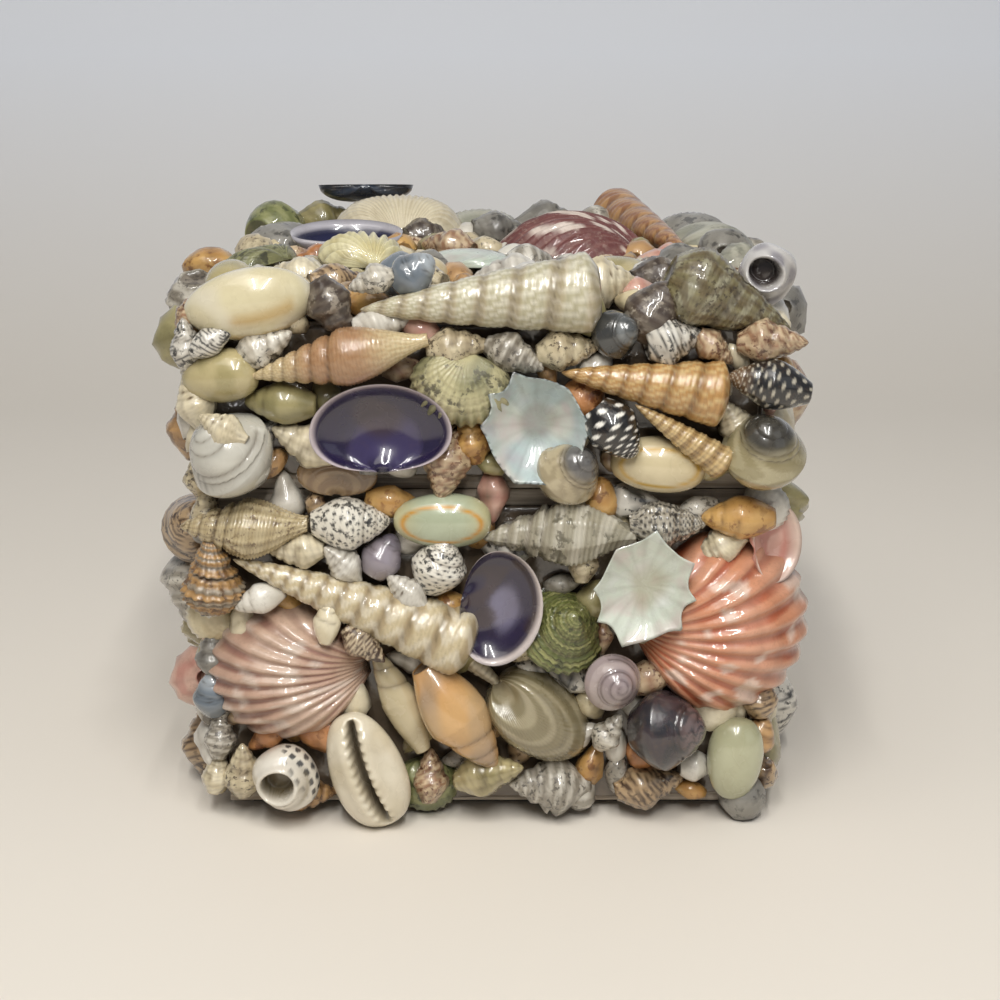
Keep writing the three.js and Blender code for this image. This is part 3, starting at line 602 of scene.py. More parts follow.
faceFrames = {
    "front": ((1, 0, 0), (0, 0, 1), (0, -half, 0)),
    "right": ((0, 1, 0), (0, 0, 1), (half, 0, 0)),
    "back": ((-1, 0, 0), (0, 0, 1), (0, half, 0)),
    "left": ((0, -1, 0), (0, 0, 1), (-half, 0, 0)),
    "top": ((1, 0, 0), (0, 1, 0), (0, 0, lidTop)),
}


def turned(points, turn, lean, roll):
    # rolled about its own axis, leaned out of the face, then turned in the face
    a, b, c = (math.radians(value) for value in (turn, -lean, roll))
    spin = np.array([[1, 0, 0], [0, math.cos(c), -math.sin(c)], [0, math.sin(c), math.cos(c)]])
    lift = np.array([[math.cos(b), 0, math.sin(b)], [0, 1, 0], [-math.sin(b), 0, math.cos(b)]])
    swing = np.array([[math.cos(a), -math.sin(a), 0], [math.sin(a), math.cos(a), 0], [0, 0, 1]])
    return points @ (swing @ lift @ spin).T


def faceAxes(face):
    right, over, origin = (np.array(v, float) for v in faceFrames[face])
    return np.stack([right, over, np.cross(right, over)]), origin


def toBox(points, face, across, up, out):
    axes, origin = faceAxes(face)
    return (points + np.array([across, up, out])) @ axes + origin


def fitToNode(points, face, node):
    # scaled and moved so that its outline in the face and its crown match the frame's solid
    low, high = (np.array(corner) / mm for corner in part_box(node))
    axes, origin = faceAxes(face)
    ends = np.stack([(low - origin) @ axes.T, (high - origin) @ axes.T])
    low, high = ends.min(0), ends.max(0)
    ownLow, ownHigh = points.reshape(-1, 3).min(0), points.reshape(-1, 3).max(0)
    size = (high - low)[:2].sum() / (ownHigh - ownLow)[:2].sum()
    middle = (low + high) / 2 - size * (ownLow + ownHigh) / 2
    return toBox(points * size, face, middle[0], middle[1], high[2] - size * ownHigh[2])


# the kinds of shell, as forms of the shapes above

kinds = {
    "auger": (spiralShell, dict(widest=0.94, power=0.7, canal=0.6, whorls=8, growth=2.0, step=0.11, cords=5,
                                cordDepth=0.012, hollow=0.05, shoulder=0.8, wobble=0.012)),
    "slimAuger": (spiralShell, dict(widest=0.93, power=0.7, canal=0.5, whorls=10, growth=2.0, step=0.13,
                                    cords=3, cordDepth=0.03, ribs=16, ribDepth=0.02, hollow=0.04)),
    "nassa": (spiralShell, dict(widest=0.6, power=0.68, canal=0.42, whorls=4.2, growth=4, step=0.22, ribs=12,
                                ribDepth=0.045, cords=4, cordDepth=0.02, bend=0.08, hollow=0.03, taper=1.3)),
    "beaded": (spiralShell, dict(widest=0.7, power=0.8, canal=0.5, whorls=4.5, step=0.26, ribs=16,
                                 ribDepth=0.07, cords=3, cordDepth=0.04)),
    "whelk": (spiralShell, dict(widest=0.52, power=0.72, canal=0.26, whorls=4.5, growth=4, step=0.2, ribs=13,
                                ribDepth=0.05, cords=7, cordDepth=0.03, bend=-0.12, taper=1.5)),
    "knobbed": (spiralShell, dict(widest=0.55, power=0.78, canal=0.24, whorls=4.5, step=0.22, knobs=9,
                                  knobDepth=0.13, cords=6, cordDepth=0.03, bend=0.12, taper=1.4)),
    "cone": (spiralShell, dict(widest=0.76, power=0.8, canal=0.5, whorls=4, growth=3, step=0.12, ribs=15,
                               ribDepth=0.025, cords=7, cordDepth=0.02, hollow=0.03)),
    "spindle": (spiralShell, dict(widest=0.54, power=0.85, canal=0.22, whorls=8, growth=2.5, step=0.2,
                                  ribs=0, cords=5, cordDepth=0.02, hollow=0.0, taper=1.7)),
    "dove": (spiralShell, dict(widest=0.5, power=0.62, canal=0.42, whorls=4, growth=5, step=0.09,
                               bend=0.05, hollow=0.02)),
    "moon": (spiralShell, dict(widest=0.56, power=0.52, canal=0.55, whorls=3.2, growth=9, step=0.07,
                               hollow=0.0)),
    "turban": (spiralShell, dict(widest=0.62, power=0.75, canal=0.55, whorls=4, growth=3, step=0.16, cords=5,
                                 cordDepth=0.04, ribs=26, ribDepth=0.035)),
    "cowrie": (eggShell, dict(height=0.8, bulge=0.08, power=0.8)),
    "openCowrie": (eggShell, dict(height=0.72, bulge=-0.12, slit=True, power=0.78)),
    "openSnail": (eggShell, dict(height=0.9, bulge=0.06, mouth=0.23, power=0.7)),
    "scallop": (fanShell, dict(depth=8, fan=65, pinch=0.3, ribs=13, ribDepth=0.42, frill=0.012, steps=6,
                               stepDepth=0.06, hinge=0.06)),
    "cockle": (fanShell, dict(depth=6, fan=78, pinch=0.4, ribs=19, ribDepth=0.3, frill=0.02, steps=6)),
    "dome": (fanShell, dict(depth=8, fan=88, pinch=0.6, ribs=38, ribDepth=0.1, frill=0.0, steps=7)),
    "flat": (fanShell, dict(depth=3, fan=88, pinch=0.6, steps=8, stepDepth=0.1)),
    "dish": (fanShell, dict(depth=5.5, fan=84, pinch=0.5, wall=1.0, steps=3, stepDepth=0.03, frill=0.0)),
    "star": (starShell, dict(depth=5.2, wall=1.5)),
}

# looks shared by many shells: a base colour, patterns laid over it, flecks and a finish

looks = {
    "cream": dict(base="#d9cca8", over=[("mist", "#b8a47c", 1, 0.5)], finish="plain"),
    "ivory": dict(base="#e2d8bd", over=[("mist", "#c6b68f", 1, 0.4)], finish="plain"),
    "white": dict(base="#dedad0", over=[("mist", "#b9b3a4", 1, 0.4)], finish="plain"),
    "speckle": dict(base="#cfc2a2", over=[("mist", "#a8977a", 1, 0.5)], fleck="#3b2d20", finish="speckled"),
    "speckleWhite": dict(base="#d8d3c6", over=[("bands", "#b4aa96", 1, 0.4)], fleck="#26231f",
                         finish="speckled"),
    "rust": dict(base="#cbb493", over=[("flames", "#7c4526", 9, 0.7)], fleck="#5b2c17", finish="speckled"),
    "brownNet": dict(base="#b59a76", over=[("dashes", "#3f281a", 14, 0.9)], fleck="#3a2417",
                     finish="netted"),
    "blackDash": dict(base="#d9d5cb", over=[("dashes", "#17171a", 12, 0.95)], fleck="#1b1b1d",
                      finish="netted"),
    "tan": dict(base="#bd9666", over=[("bands", "#8f6a43", 1, 0.5)], fleck="#5d3f26", finish="mottled"),
    "golden": dict(base="#c9a060", over=[("mist", "#a06c2e", 1, 0.6)], fleck="#7a4a20", finish="mottled"),
    "darkBrown": dict(base="#43362d", over=[("bands", "#8b8071", 2, 0.4)], fleck="#a49a8b",
                      finish="mottled"),
    "greyBand": dict(base="#8f887b", over=[("bands", "#d5d0c4", 2, 0.8)], fleck="#4c463f",
                     finish="speckled"),
    "grey": dict(base="#8d8a82", over=[("mist", "#5d5a55", 1, 0.6)], fleck="#3b3935", finish="mottled"),
    "blueGrey": dict(base="#6f7881", over=[("apex", "#aeb4b8", 1, 0.7)], finish="polished"),
    "lilac": dict(base="#8f8790", over=[("apex", "#5f5964", 1, 0.8)], finish="polished"),
    "olive": dict(base="#9d9468", over=[("mist", "#6f6a45", 1, 0.6)], fleck="#3c3a26", finish="plain"),
    "oliveCream": dict(base="#b8ab80", over=[("mist", "#8e8557", 1, 0.6)], finish="polished"),
    "green": dict(base="#6f7447", over=[("bands", "#9a9a68", 3, 0.6)], fleck="#33381f", finish="mottled"),
    "orange": dict(base="#c98f5c", over=[("mist", "#a6622f", 1, 0.6)], fleck="#6d3514", finish="mottled"),
    "pink": dict(base="#cfa796", over=[("growth", "#b5766a", 3, 0.6)], finish="plain"),
    "violet": dict(base="#2f2750", over=[("growth", "#5d5478", 2, 0.4), ("margin", "#cfc5c6", 1, 0.9)],
                   finish="polished"),
    "spiky": dict(base="#8f8f80", over=[("bands", "#c5c2b2", 2, 0.5)], fleck="#33332c", finish="chalky"),
    "zebra": dict(base="#d0bfa2", over=[("bands", "#4a2c1b", 3, 0.9)], fleck="#3a2114", finish="netted"),
}

# the single shells, each in the place of its solid in the frame

lidFrontShells = {
    "star_limpet_lid": dict(
        kind="star", turn=100, slim=0.9, slot="shell_nacre", seed=5,
        look=dict(base="#b9c2c6", over=[("mist", "#d8d6cf", 1, 0.8), ("heart", "#8f877c", 1, 0.6),
                                       ("ticks", "#202326", 40, 0.9)], finish="pearly")),
    "clam_violet_lid": dict(
        kind="dish", turn=92, lean=6, slim=1.46, slot="shell_violet",
        look=dict(base="#221a3c", over=[("growth", "#4b426c", 1, 0.5), ("heart", "#3f3138", 1, 0.8),
                                       ("rim", "#c9bcc0", 1, 0.95)], finish="polished")),
    "snail_black_dotted": dict(
        kind="moon", turn=-50, lean=10, slim=0.85, slot="shell_dark",
        look=dict(base="#131315", over=[("dots", "#f0eee6", 7, 1.0)], finish="dark")),
    "auger_thin": dict(
        kind="slimAuger", turn=146, slim=0.32, slot="shell_cream",
        look=dict(base="#c9ae7c", over=[("bands", "#a5824f", 1, 0.6)], finish="plain")),
    "auger_cream": dict(
        kind="auger", turn=184, lean=2, slim=0.34, slot="shell_cream",
        look=dict(base="#b9b396", over=[("flames", "#dcd8c6", 17, 0.8), ("bands", "#a08763", 1, 0.35)],
                  finish="plain")),
    "spindle_tan": dict(
        kind="spindle", turn=192, slim=0.32, slot="shell_orange",
        look=dict(base="#bfa97f", over=[("flames", "#d9cca6", 19, 0.6), ("middle", "#9c6a46", 1, 0.75)],
                  finish="plain")),
    "cockle_mottled": dict(
        kind="cockle", turn=-100, lean=5, slim=1.3, slot="shell_olive",
        look=dict(base="#b9b28a", over=[("mist", "#7b7a58", 1, 0.8)], fleck="#3d3a2a", finish="mottled")),
    "auger_golden": dict(
        kind="auger", turn=172, slim=0.4, slot="shell_orange",
        look=dict(base="#b58a52", over=[("flames", "#d6bd88", 15, 0.7), ("bands", "#93652f", 1, 0.35)],
                  finish="plain")),
    "whelk_black_spire": dict(
        kind="dove", turn=170, slim=0.6, slot="shell_dark",
        look=dict(base="#1a1a1c", over=[("apex", "#6d5640", 1, 1.0), ("dots", "#cfc8b6", 9, 0.7)],
                  finish="dark")),
    "moon_snail_olive": dict(
        kind="moon", turn=85, lean=35, slim=1.15, slot="shell_olive",
        look=dict(base="#948a68", over=[("flames", "#b3aa8b", 5, 0.6), ("apex", "#2b2b2e", 1, 0.9)],
                  finish="polished")),
    "moon_snail_seam": dict(
        kind="moon", turn=50, lean=40, slim=1.0, slot="shell_olive",
        look=dict(base="#b1a486", over=[("flames", "#8a7d62", 9, 0.5), ("apex", "#55565a", 1, 0.9)],
                  finish="polished")),
    "cowrie_ring_lid": dict(
        kind="cowrie", turn=-4, slim=0.6, slot="shell_cream",
        look=dict(base="#c5b48c", over=[("middle", "#d3c7a6", 1, 0.6), ("ring", "#c39a2e", 1, 0.9)],
                  finish="polished")),
    "clam_amber": dict(
        kind="flat", turn=88, slim=1.66, slot="shell_orange",
        look=dict(base="#7a6144", over=[("growth", "#9a8260", 3, 0.6)], finish="polished")),
    "cowrie_money_lid": dict(
        kind="cowrie", turn=10, roll=40, slim=0.62, slot="shell_cream", form=dict(power=1.12, height=0.9),
        look=dict(base="#d3c9a6", over=[("mist", "#e2dccb", 1, 0.7), ("stripe", "#c09a44", 1, 0.7)],
                  finish="polished")),
    "moon_snail_pearl": dict(
        kind="moon", turn=130, lean=35, roll=170, slim=1.12, slot="shell_cream",
        look=dict(base="#bdbbb2", over=[("sideStreaks", "#2f3136", 22, 0.9), ("mist", "#cfccc0", 1, 0.4)],
                  finish="polished")),
    "moon_snail_dark": dict(
        kind="moon", turn=30, lean=45, slim=1.0, slot="shell_dark",
        look=dict(base="#3b3c3b", over=[("apex", "#8f9496", 1, 0.6), ("mist", "#222425", 1, 0.6)],
                  finish="polished")),
    "whelk_conical": dict(
        kind="cone", turn=-24, slim=0.6, slot="shell_olive",
        look=dict(base="#7d7554", over=[("bands", "#a7a58f", 2, 0.6), ("flames", "#57452a", 11, 0.6)],
                  fleck="#3b2f1c", finish="speckled")),
}

topShells = {
    "snail_open_lid": dict(
        kind="openSnail", turn=65, slim=0.9, slot="shell_cream", face="front", form=dict(mouth=0.3),
        look=dict(base="#c3c0bd", over=[("mist", "#77747f", 1, 0.7), ("mouthShade", "#4a3d3c", 1, 0.95)],
                  finish="polished")),
    "auger_orange": dict(
        kind="auger", turn=-74, lean=-3, slim=0.25, slot="shell_orange",
        look=dict(base="#a87b4d", over=[("bands", "#c89c67", 1, 0.6), ("flames", "#7c452c", 6, 0.6)],
                  finish="plain")),
    "scallop_maroon": dict(
        kind="scallop", turn=165, lean=-2, slim=0.81, slot="shell_maroon", form=dict(ribs=25, ribDepth=0.3),
        look=dict(base="#6a3a38", over=[("rays", "#8c625b", 25, 0.5), ("flakes", "#dccfc4", 3, 0.85)],
                  fleck="#b9a494", finish="chalky")),
    "mussel_dark": dict(
        kind="dish", turn=92, lean=-8, slim=1.7, slot="shell_dark",
        look=dict(base="#2a3342", over=[("margin", "#14161b", 1, 1.0)], finish="dark")),
    "clam_cream_dome": dict(
        kind="dome", turn=98, slim=1.3, slot="shell_cream", form=dict(depth=10.5, ribDepth=0.3, ribs=30),
        look=dict(base="#d6ccb2", over=[("rays", "#b5a684", 30, 0.5)], finish="plain")),
    "clam_violet_top": dict(
        kind="dish", turn=95, lean=12, slim=1.6, slot="shell_violet",
        look=dict(base="#191b3d", over=[("growth", "#3d4068", 1, 0.5), ("rim", "#b9b6bd", 1, 0.9)],
                  finish="polished")),
    "cockle_ribbed": dict(
        kind="cockle", turn=115, lean=8, slim=1.12, slot="shell_cream", form=dict(ribs=11, ribDepth=0.95),
        look=dict(base="#ddd6ad", over=[("growth", "#c7ba84", 2, 0.5)], finish="plain")),
    "shell_pearl_flat": dict(
        kind="flat", turn=60, slim=1.12, slot="shell_nacre",
        look=dict(base="#ccd0c6", over=[("growth", "#b3b8ae", 3, 0.5)], finish="pearly")),
    "limpet_olive": dict(
        kind="cockle", turn=150, lean=-25, slim=1.11, slot="shell_green",
        look=dict(base="#85855c", over=[("rays", "#4a4a30", 15, 0.7)], fleck="#2f2f1e", finish="mottled")),
}

bodyFrontShells = {
    "star_limpet_body": dict(
        kind="star", turn=80, slim=0.83, slot="shell_nacre", seed=9, form=dict(depth=3.0, wall=0.8),
        look=dict(base="#cfcfc6", over=[("heart", "#a79c86", 1, 0.7), ("mist", "#e3e1d9", 1, 0.6)],
                  finish="pearly")),
    "clam_violet_body": dict(
        kind="dish", turn=-8, lean=4, slim=1.4, slot="shell_violet",
        look=dict(base="#241a38", over=[("heart", "#77738c", 1, 0.85), ("flames", "#3a2a2c", 2, 0.7),
                                       ("rim", "#d6cbc8", 1, 0.95)], finish="polished")),
    "clam_pink": dict(
        kind="dish", turn=10, lean=-35, slim=1.25, slot="shell_pink",
        look=dict(base="#c98a7d", over=[("growth", "#dcb3a4", 2, 0.7), ("margin", "#e0c9bb", 1, 0.9)],
                  finish="polished")),
    "moon_snail_mauve": dict(
        kind="moon", turn=20, lean=75, slim=1.15, slot="shell_mauve",
        look=dict(base="#b3a5a3", over=[("bands", "#8c7d80", 1, 0.5), ("apex", "#77696e", 1, 0.5)],
                  finish="polished")),
    "cowrie_money_body": dict(
        kind="openCowrie", turn=109, slim=0.6, slot="shell_cream",
        look=dict(base="#dcd3bd", over=[("mist", "#cbbfa3", 1, 0.6)], finish="polished")),
    "snail_open_body": dict(
        kind="openSnail", turn=120, slim=0.95, slot="shell_cream", form=dict(mouth=0.28),
        look=dict(base="#ded8cb", over=[("sideDots", "#1d2028", 5, 0.9), ("mouthShade", "#a39672", 1, 0.9)],
                  finish="polished")),
    "nassa_beaded": dict(
        kind="beaded", turn=92, lean=5, slim=0.76, slot="shell_orange",
        look=dict(base="#b08a58", over=[("bands", "#8b8578", 2, 0.8)], fleck="#5d4028", finish="mottled")),
    "auger_body": dict(
        kind="auger", turn=159, slim=0.29, slot="shell_cream", form=dict(whorls=12, cords=5, cordDepth=0.02),
        look=dict(base="#cabb98", over=[("bands", "#a08a64", 1, 0.6), ("flames", "#e4dcc8", 7, 0.6)],
                  finish="plain")),
    "scallop_coral": dict(
        kind="scallop", turn=2, lean=-4, slim=1.03, slot="shell_coral",
        look=dict(base="#c98a68", over=[("rays", "#ab4e2a", 13, 0.8), ("mist", "#d9ae96", 1, 0.35),
                                       ("flakes", "#e8d8ca", 4, 0.6)], finish="plain")),
    "scallop_pink": dict(
        kind="scallop", turn=184, lean=-4, slim=0.8, slot="shell_pink",
        look=dict(base="#bd9c88", over=[("rays", "#8e6155", 13, 0.75), ("mist", "#cdb6a2", 1, 0.5),
                                       ("flakes", "#ddd0c4", 3, 0.5)], finish="plain")),
    "conch_lipped": dict(
        kind="dove", turn=-55, slim=0.5, slot="shell_orange",
        look=dict(base="#c89a63", over=[("mist", "#8f8578", 1, 0.6), ("middle", "#d9b37c", 1, 0.5)],
                  finish="polished")),
    "whelk_netted": dict(
        kind="whelk", turn=178, slim=0.47, slot="shell_cream",
        look=dict(base="#c5b590", over=[("bands", "#ab9870", 2, 0.5)], fleck="#6b563b", finish="speckled")),
    "snail_spotted_mid": dict(
        kind="dove", turn=75, lean=10, slim=0.92, slot="shell_spotted",
        look=dict(base="#ddd8cc", over=[("dots", "#141416", 14, 1.0)], fleck="#141416", finish="netted")),
    "snail_spotted_left": dict(
        kind="dove", turn=4, slim=0.7, slot="shell_spotted",
        look=dict(base="#dcd7ca", over=[("dots", "#141416", 14, 1.0)], fleck="#141416", finish="netted")),
    "cowrie_ring_body": dict(
        kind="cowrie", turn=0, slim=0.57, slot="shell_cream",
        look=dict(base="#b9b48c", over=[("middle", "#a7b29b", 1, 0.8), ("ring", "#c08a2c", 1, 1.0)],
                  finish="polished")),
    "whelk_knobbly": dict(
        kind="knobbed", turn=184, slim=0.43, slot="shell_olive",
        look=dict(base="#a39d8a", over=[("bands", "#cfcabb", 2, 0.6)], fleck="#55503f", finish="mottled")),
    "nassa_grey": dict(
        kind="nassa", turn=5, slim=0.64, slot="shell_spotted",
        look=dict(base="#b9b3a5", over=[("dashes", "#2b2a2b", 14, 0.9)], fleck="#2b2a2b", finish="netted")),
    "turban_green": dict(
        kind="turban", turn=60, lean=48, slim=1.35, slot="shell_green",
        look=dict(base="#69703c", over=[("bands", "#a3a269", 3, 0.7)], fleck="#2f3519", finish="mottled")),
    "whelk_fragment": dict(
        kind="dome", turn=-42, lean=-4, slim=0.68, slot="shell_olive",
        look=dict(base="#857b5e", over=[("growth", "#b3a98d", 5, 0.6)], finish="polished")),
    "nerite_purple": dict(
        kind="moon", turn=12, lean=25, slim=1.1, slot="shell_dark",
        look=dict(base="#3a3136", over=[("apex", "#6e5d5c", 1, 0.8), ("flames", "#20242b", 7, 0.7)],
                  finish="dark")),
    "olive_shell": dict(
        kind="dove", turn=115, slim=0.33, slot="shell_cream",
        look=dict(base="#c2b594", over=[("mist", "#9a8c6c", 1, 0.6)], finish="polished")),
    "cowrie_green": dict(
        kind="cowrie", turn=86, slim=0.65, slot="shell_green",
        look=dict(base="#a3a383", over=[("middle", "#bdbd9f", 1, 0.6)], finish="polished")),
}


gridSizes = {"spiralShell": (92, 56), "longSpiral": (130, 48), "eggShell": (60, 44), "fanShell": (112, 40),
             "starShell": (34, 120), "openCowrie": (100, 72), "openSnail": (80, 80)}
longBelow = 0.5           # a spiral slimmer than this gets more rows
drawnLength = 20.0        # every single shell is worked out at this length, then fitted
footClear = 0.05          # nothing reaches lower than this


def gridSize(shape, kind, slim):
    if shape is spiralShell and slim < longBelow:
        return gridSizes["longSpiral"]
    return gridSizes.get(kind, gridSizes[shape.__name__])


def makeSingles(table, face):
    for number, (node, shell) in enumerate(table.items()):
        shape, form = kinds[shell["kind"]]
        seed = shell.get("seed", 11 + number)
        extra = dict(shell.get("form", {}))
        if shape is spiralShell or shape is starShell:
            extra["seed"] = seed
        rows, columns = gridSize(shape, shell["kind"], shell["slim"])
        surface = shape(drawnLength, drawnLength * shell["slim"], rows, columns, **{**form, **extra})
        paint(surface, shell["look"], seed)
        placed = turned(surface["points"], shell["turn"], shell.get("lean", 0), shell.get("roll", 0))
        surface["points"] = fitToNode(placed, shell.get("face", face), node)
        surface["points"][..., 2] = np.maximum(surface["points"][..., 2], footClear)
        piece = buildPiece(node + "_shell", [surface])
        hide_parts(node)
    print("single shells made:", face, len(table))


makeSingles(lidFrontShells, "front")
makeSingles(topShells, "top")
makeSingles(bodyFrontShells, "front")

# the small shells: kind, across, up, turn, length, middle off the wood, look (millimetres, degrees)

lidFrontSmalls = [
    ("nassa", -55, 95, 95, 10, 5, "blackDash"), ("nassa", -54, 101, 60, 8, 3, "rust"),
    ("dove", -50, 96, 30, 9, 7, "blackDash"), ("cowrie", -49, 89, 10, 15, 6.5, "oliveCream"),
    ("whelk", -54, 84, 105, 12, 4, "ivory"), ("nassa", -40.5, 94.5, 30, 12, 6, "speckleWhite"),
    ("dove", -38, 84, 180, 14, 5, "olive"), ("nassa", -34, 76.5, 155, 13, 5.5, "ivory"),
    ("whelk", -7.5, 72, -100, 14, 5.5, "rust"), ("nassa", -3, 77.5, 100, 11, 4.5, "golden"),
    ("nassa", -28, 101, -60, 13, 5, "darkBrown"), ("nassa", -19, 98.5, 10, 11, 5, "white"),
    ("nassa", -5, 94.5, 5, 12, 6, "speckle"), ("nassa", 5.3, 93, -25, 12, 6, "greyBand"),
    ("nassa", 15, 94, 5, 12, 6, "speckle"), ("moon", 31, 101, 60, 12, 4, "darkBrown"),
    ("turban", 34.5, 96, 10, 11, 6, "blackDash"), ("nassa", 42, 94, -40, 9, 5.5, "rust"),
    ("nassa", 52.5, 95.5, 0, 13, 5, "rust"), ("whelk", 46, 80, 120, 10, 4.5, "ivory"),
    ("nassa", -54, 70, 90, 9, 3.5, "speckle"), ("whelk", -48, 80.5, 150, 10, 12, "ivory"),
    ("nassa", -21, 106.5, 200, 9, 5, "speckleWhite"), ("moon", -13, 108, 40, 9, 4, "blueGrey"),
]

bodyFrontSmalls = [
    ("nassa", -53, 63, 90, 9, 3, "speckle"), ("moon", -19.5, 54.5, 60, 9, 5.5, "lilac"),
    ("nassa", -36, 55.5, 180, 11, 6, "ivory"), ("whelk", -27, 53.5, 135, 10, 7, "white"),
    ("whelk", -15, 48, 140, 10, 8, "white"), ("dove", -43, 46.5, 200, 10, 7, "white"),
    ("nassa", 18.3, 54, 90, 9, 6, "speckle"), ("dove", 47, 62, 180, 14, 6, "golden"),
    ("cockle", 53, 63, 20, 9, 2.5, "white"), ("whelk", 44, 56, 210, 11, 5, "ivory"),
    ("nassa", -47.5, 10.5, 90, 12, 5, "speckle"), ("nassa", -52, 17.5, 90, 10, 3.5, "greyBand"),
    ("nassa", -53, 9.5, 80, 9, 3, "ivory"), ("moon", -53, 26, 90, 9, 3.5, "blueGrey"),
    ("nassa", -53, 34, 90, 10, 3, "grey"), ("cockle", -53, 41, 200, 10, 3, "cream"),
    ("nassa", -11, 9.5, 92, 11, 5.5, "rust"), ("cockle", -12, 6, -90, 12, 3, "green"),
    ("nassa", 0.5, 10.5, 15, 14, 6, "oliveCream"), ("nassa", -35, 5, 0, 11, 3.5, "tan"),
    ("nassa", 23.6, 19.5, 60, 9, 7, "speckleWhite"), ("moon", 41, 11, 0, 7, 4, "white"),
    ("nassa", 32, 7, 15, 14, 4, "brownNet"), ("knobbed", 12, 7.5, 175, 16, 6, "greyBand"),
    ("moon", 53, 25, 90, 8, 3, "brownNet"), ("moon", 53, 17, 70, 8, 3, "tan"),
    ("nassa", -53, 44, 90, 9, 2.5, "blackDash"), ("slimAuger", 0, 30, -42, 12, 5, "ivory"),
    ("nassa", -23, 38, -40, 10, 9, "zebra"), ("dove", -30, 43, 80, 9, 9.5, "ivory"),
]

lidTopSmalls = [
    ("nassa", -38, -25, 160, 12, 5, "ivory"), ("nassa", -37, 1, 200, 11, 4, "orange"),
    ("nassa", -13, 30, 30, 14, 5, "darkBrown"), ("nassa", -9, 13, 150, 13, 5, "rust"),
    ("nassa", 4, -25, 170, 14, 5, "white"), ("moon", 9, -9, 20, 11, 4.5, "greyBand"),
    ("nassa", 40, -12, 60, 15, 5, "grey"), ("cockle", 50, 22, 10, 20, 3, "spiky"),
    ("whelk", 52, -14, 40, 16, 5, "spiky"), ("dome", 26, -17, 80, 16, 3, "oliveCream"),
    ("cockle", -47, 29, 160, 18, 3, "grey"), ("nassa", -50, 8, 100, 14, 4.5, "speckle"),
    ("cockle", -2, 46, 90, 20, 3, "spiky"), ("whelk", 14, 44, 20, 18, 6, "grey"),
    ("cockle", 48, 46, 40, 18, 3, "grey"), ("moon", -49, 46, 60, 16, 5, "green"),
    ("nassa", 35, -31, 20, 15, 5, "darkBrown"), ("cowrie", -14, -22, 30, 13, 5, "cream"),
    ("moon", -15, -42, 0, 10, 8, "blueGrey"), ("nassa", -14, -33, 150, 13, 5, "speckle"),
    ("cowrie", -50, -32, 80, 14, 5, "oliveCream"), ("whelk", 22, -43, 5, 13, 8, "ivory"),
    ("nassa", 10, -36, 10, 14, 5, "white"), ("nassa", -28, -36, 20, 13, 5, "brownNet"),
    ("turban", 50, 3, 90, 14, 5, "grey"), ("nassa", -26, 5, 160, 12, 4, "ivory"),
    ("moon", 26, 46, 30, 13, 5, "greyBand"), ("nassa", -38, 53, 20, 15, 6, "olive"),
    ("nassa", 3, 33, 10, 14, 6, "grey"),
]

sideKinds = {"spire": ["nassa", "whelk", "dove", "cone", "beaded", "knobbed"],
             "bead": ["moon", "turban", "knobbed"], "fan": ["cockle", "scallop", "dish", "dome"]}
sideFamilies = ["spire", "bead", "spire", "fan", "spire"]
sideLooks = ["speckle", "ivory", "tan", "greyBand", "cream", "rust", "white", "olive", "brownNet",
             "oliveCream", "grey", "blackDash", "orange", "pink", "golden"]
sideSettings = dict(stagger=0.15, rise=0.4, sway=0.2, shortest=15, spread=3, standOff=0.45)


def sideField(span, bottom, top, rows, columns):
    # rows of shells on a plain side, each place and size swayed by its number times the golden ratio
    made = []
    for row in range(rows):
        for column in range(columns):
            number = row * columns + column + 1
            sway = (number * golden) % 1
            family = sideFamilies[int(sway * 5)]
            stagger = sideSettings["stagger"] if row % 2 else -sideSettings["stagger"]
            across = (column + 0.5 + stagger) * span / columns - span / 2
            up = bottom + (row + sideSettings["rise"] + sideSettings["sway"] * sway) * (top - bottom) / rows
            size = sideSettings["shortest"] + sideSettings["spread"] * ((number * golden * 3) % 1)
            kind = sideKinds[family][(number * 7 + int(span)) % len(sideKinds[family])]
            look = sideLooks[(number * 4 + int(top)) % len(sideLooks)]
            if kind == "dish":
                look = "violet" if number % 2 else "pink"
            out = size * sideSettings["standOff"]
            made.append((kind, across, up, int(sway * 1080) % 360, size, out, look))
    return made


bareMargin = 3.0          # bare wood left along the seam and at the foot
footDepth = 0.7           # how far off the wood a seated shell's foot is
seatedShare = 0.65        # a shell whose middle is further out than this share of its length sits on others
mostStretch = 1.25
smallWidths = {"cowrie": 0.68, "moon": 0.92, "turban": 0.92, "cockle": 1.05, "scallop": 1.0, "dome": 1.05,
               "dish": 1.1, "dove": 0.6, "slimAuger": 0.36, "knobbed": 0.72}
usualWidth = 0.66
roundKinds = ("moon", "turban", "cowrie")
crownShares = dict(fan=0.42, round=0.4, spire=0.31)
fanForm = dict(depthShare=0.36, wall=0.8, ribLength=26)
frontLeans, otherLeans = (8, -6, 0, 12, -4), (3, -3, 0)


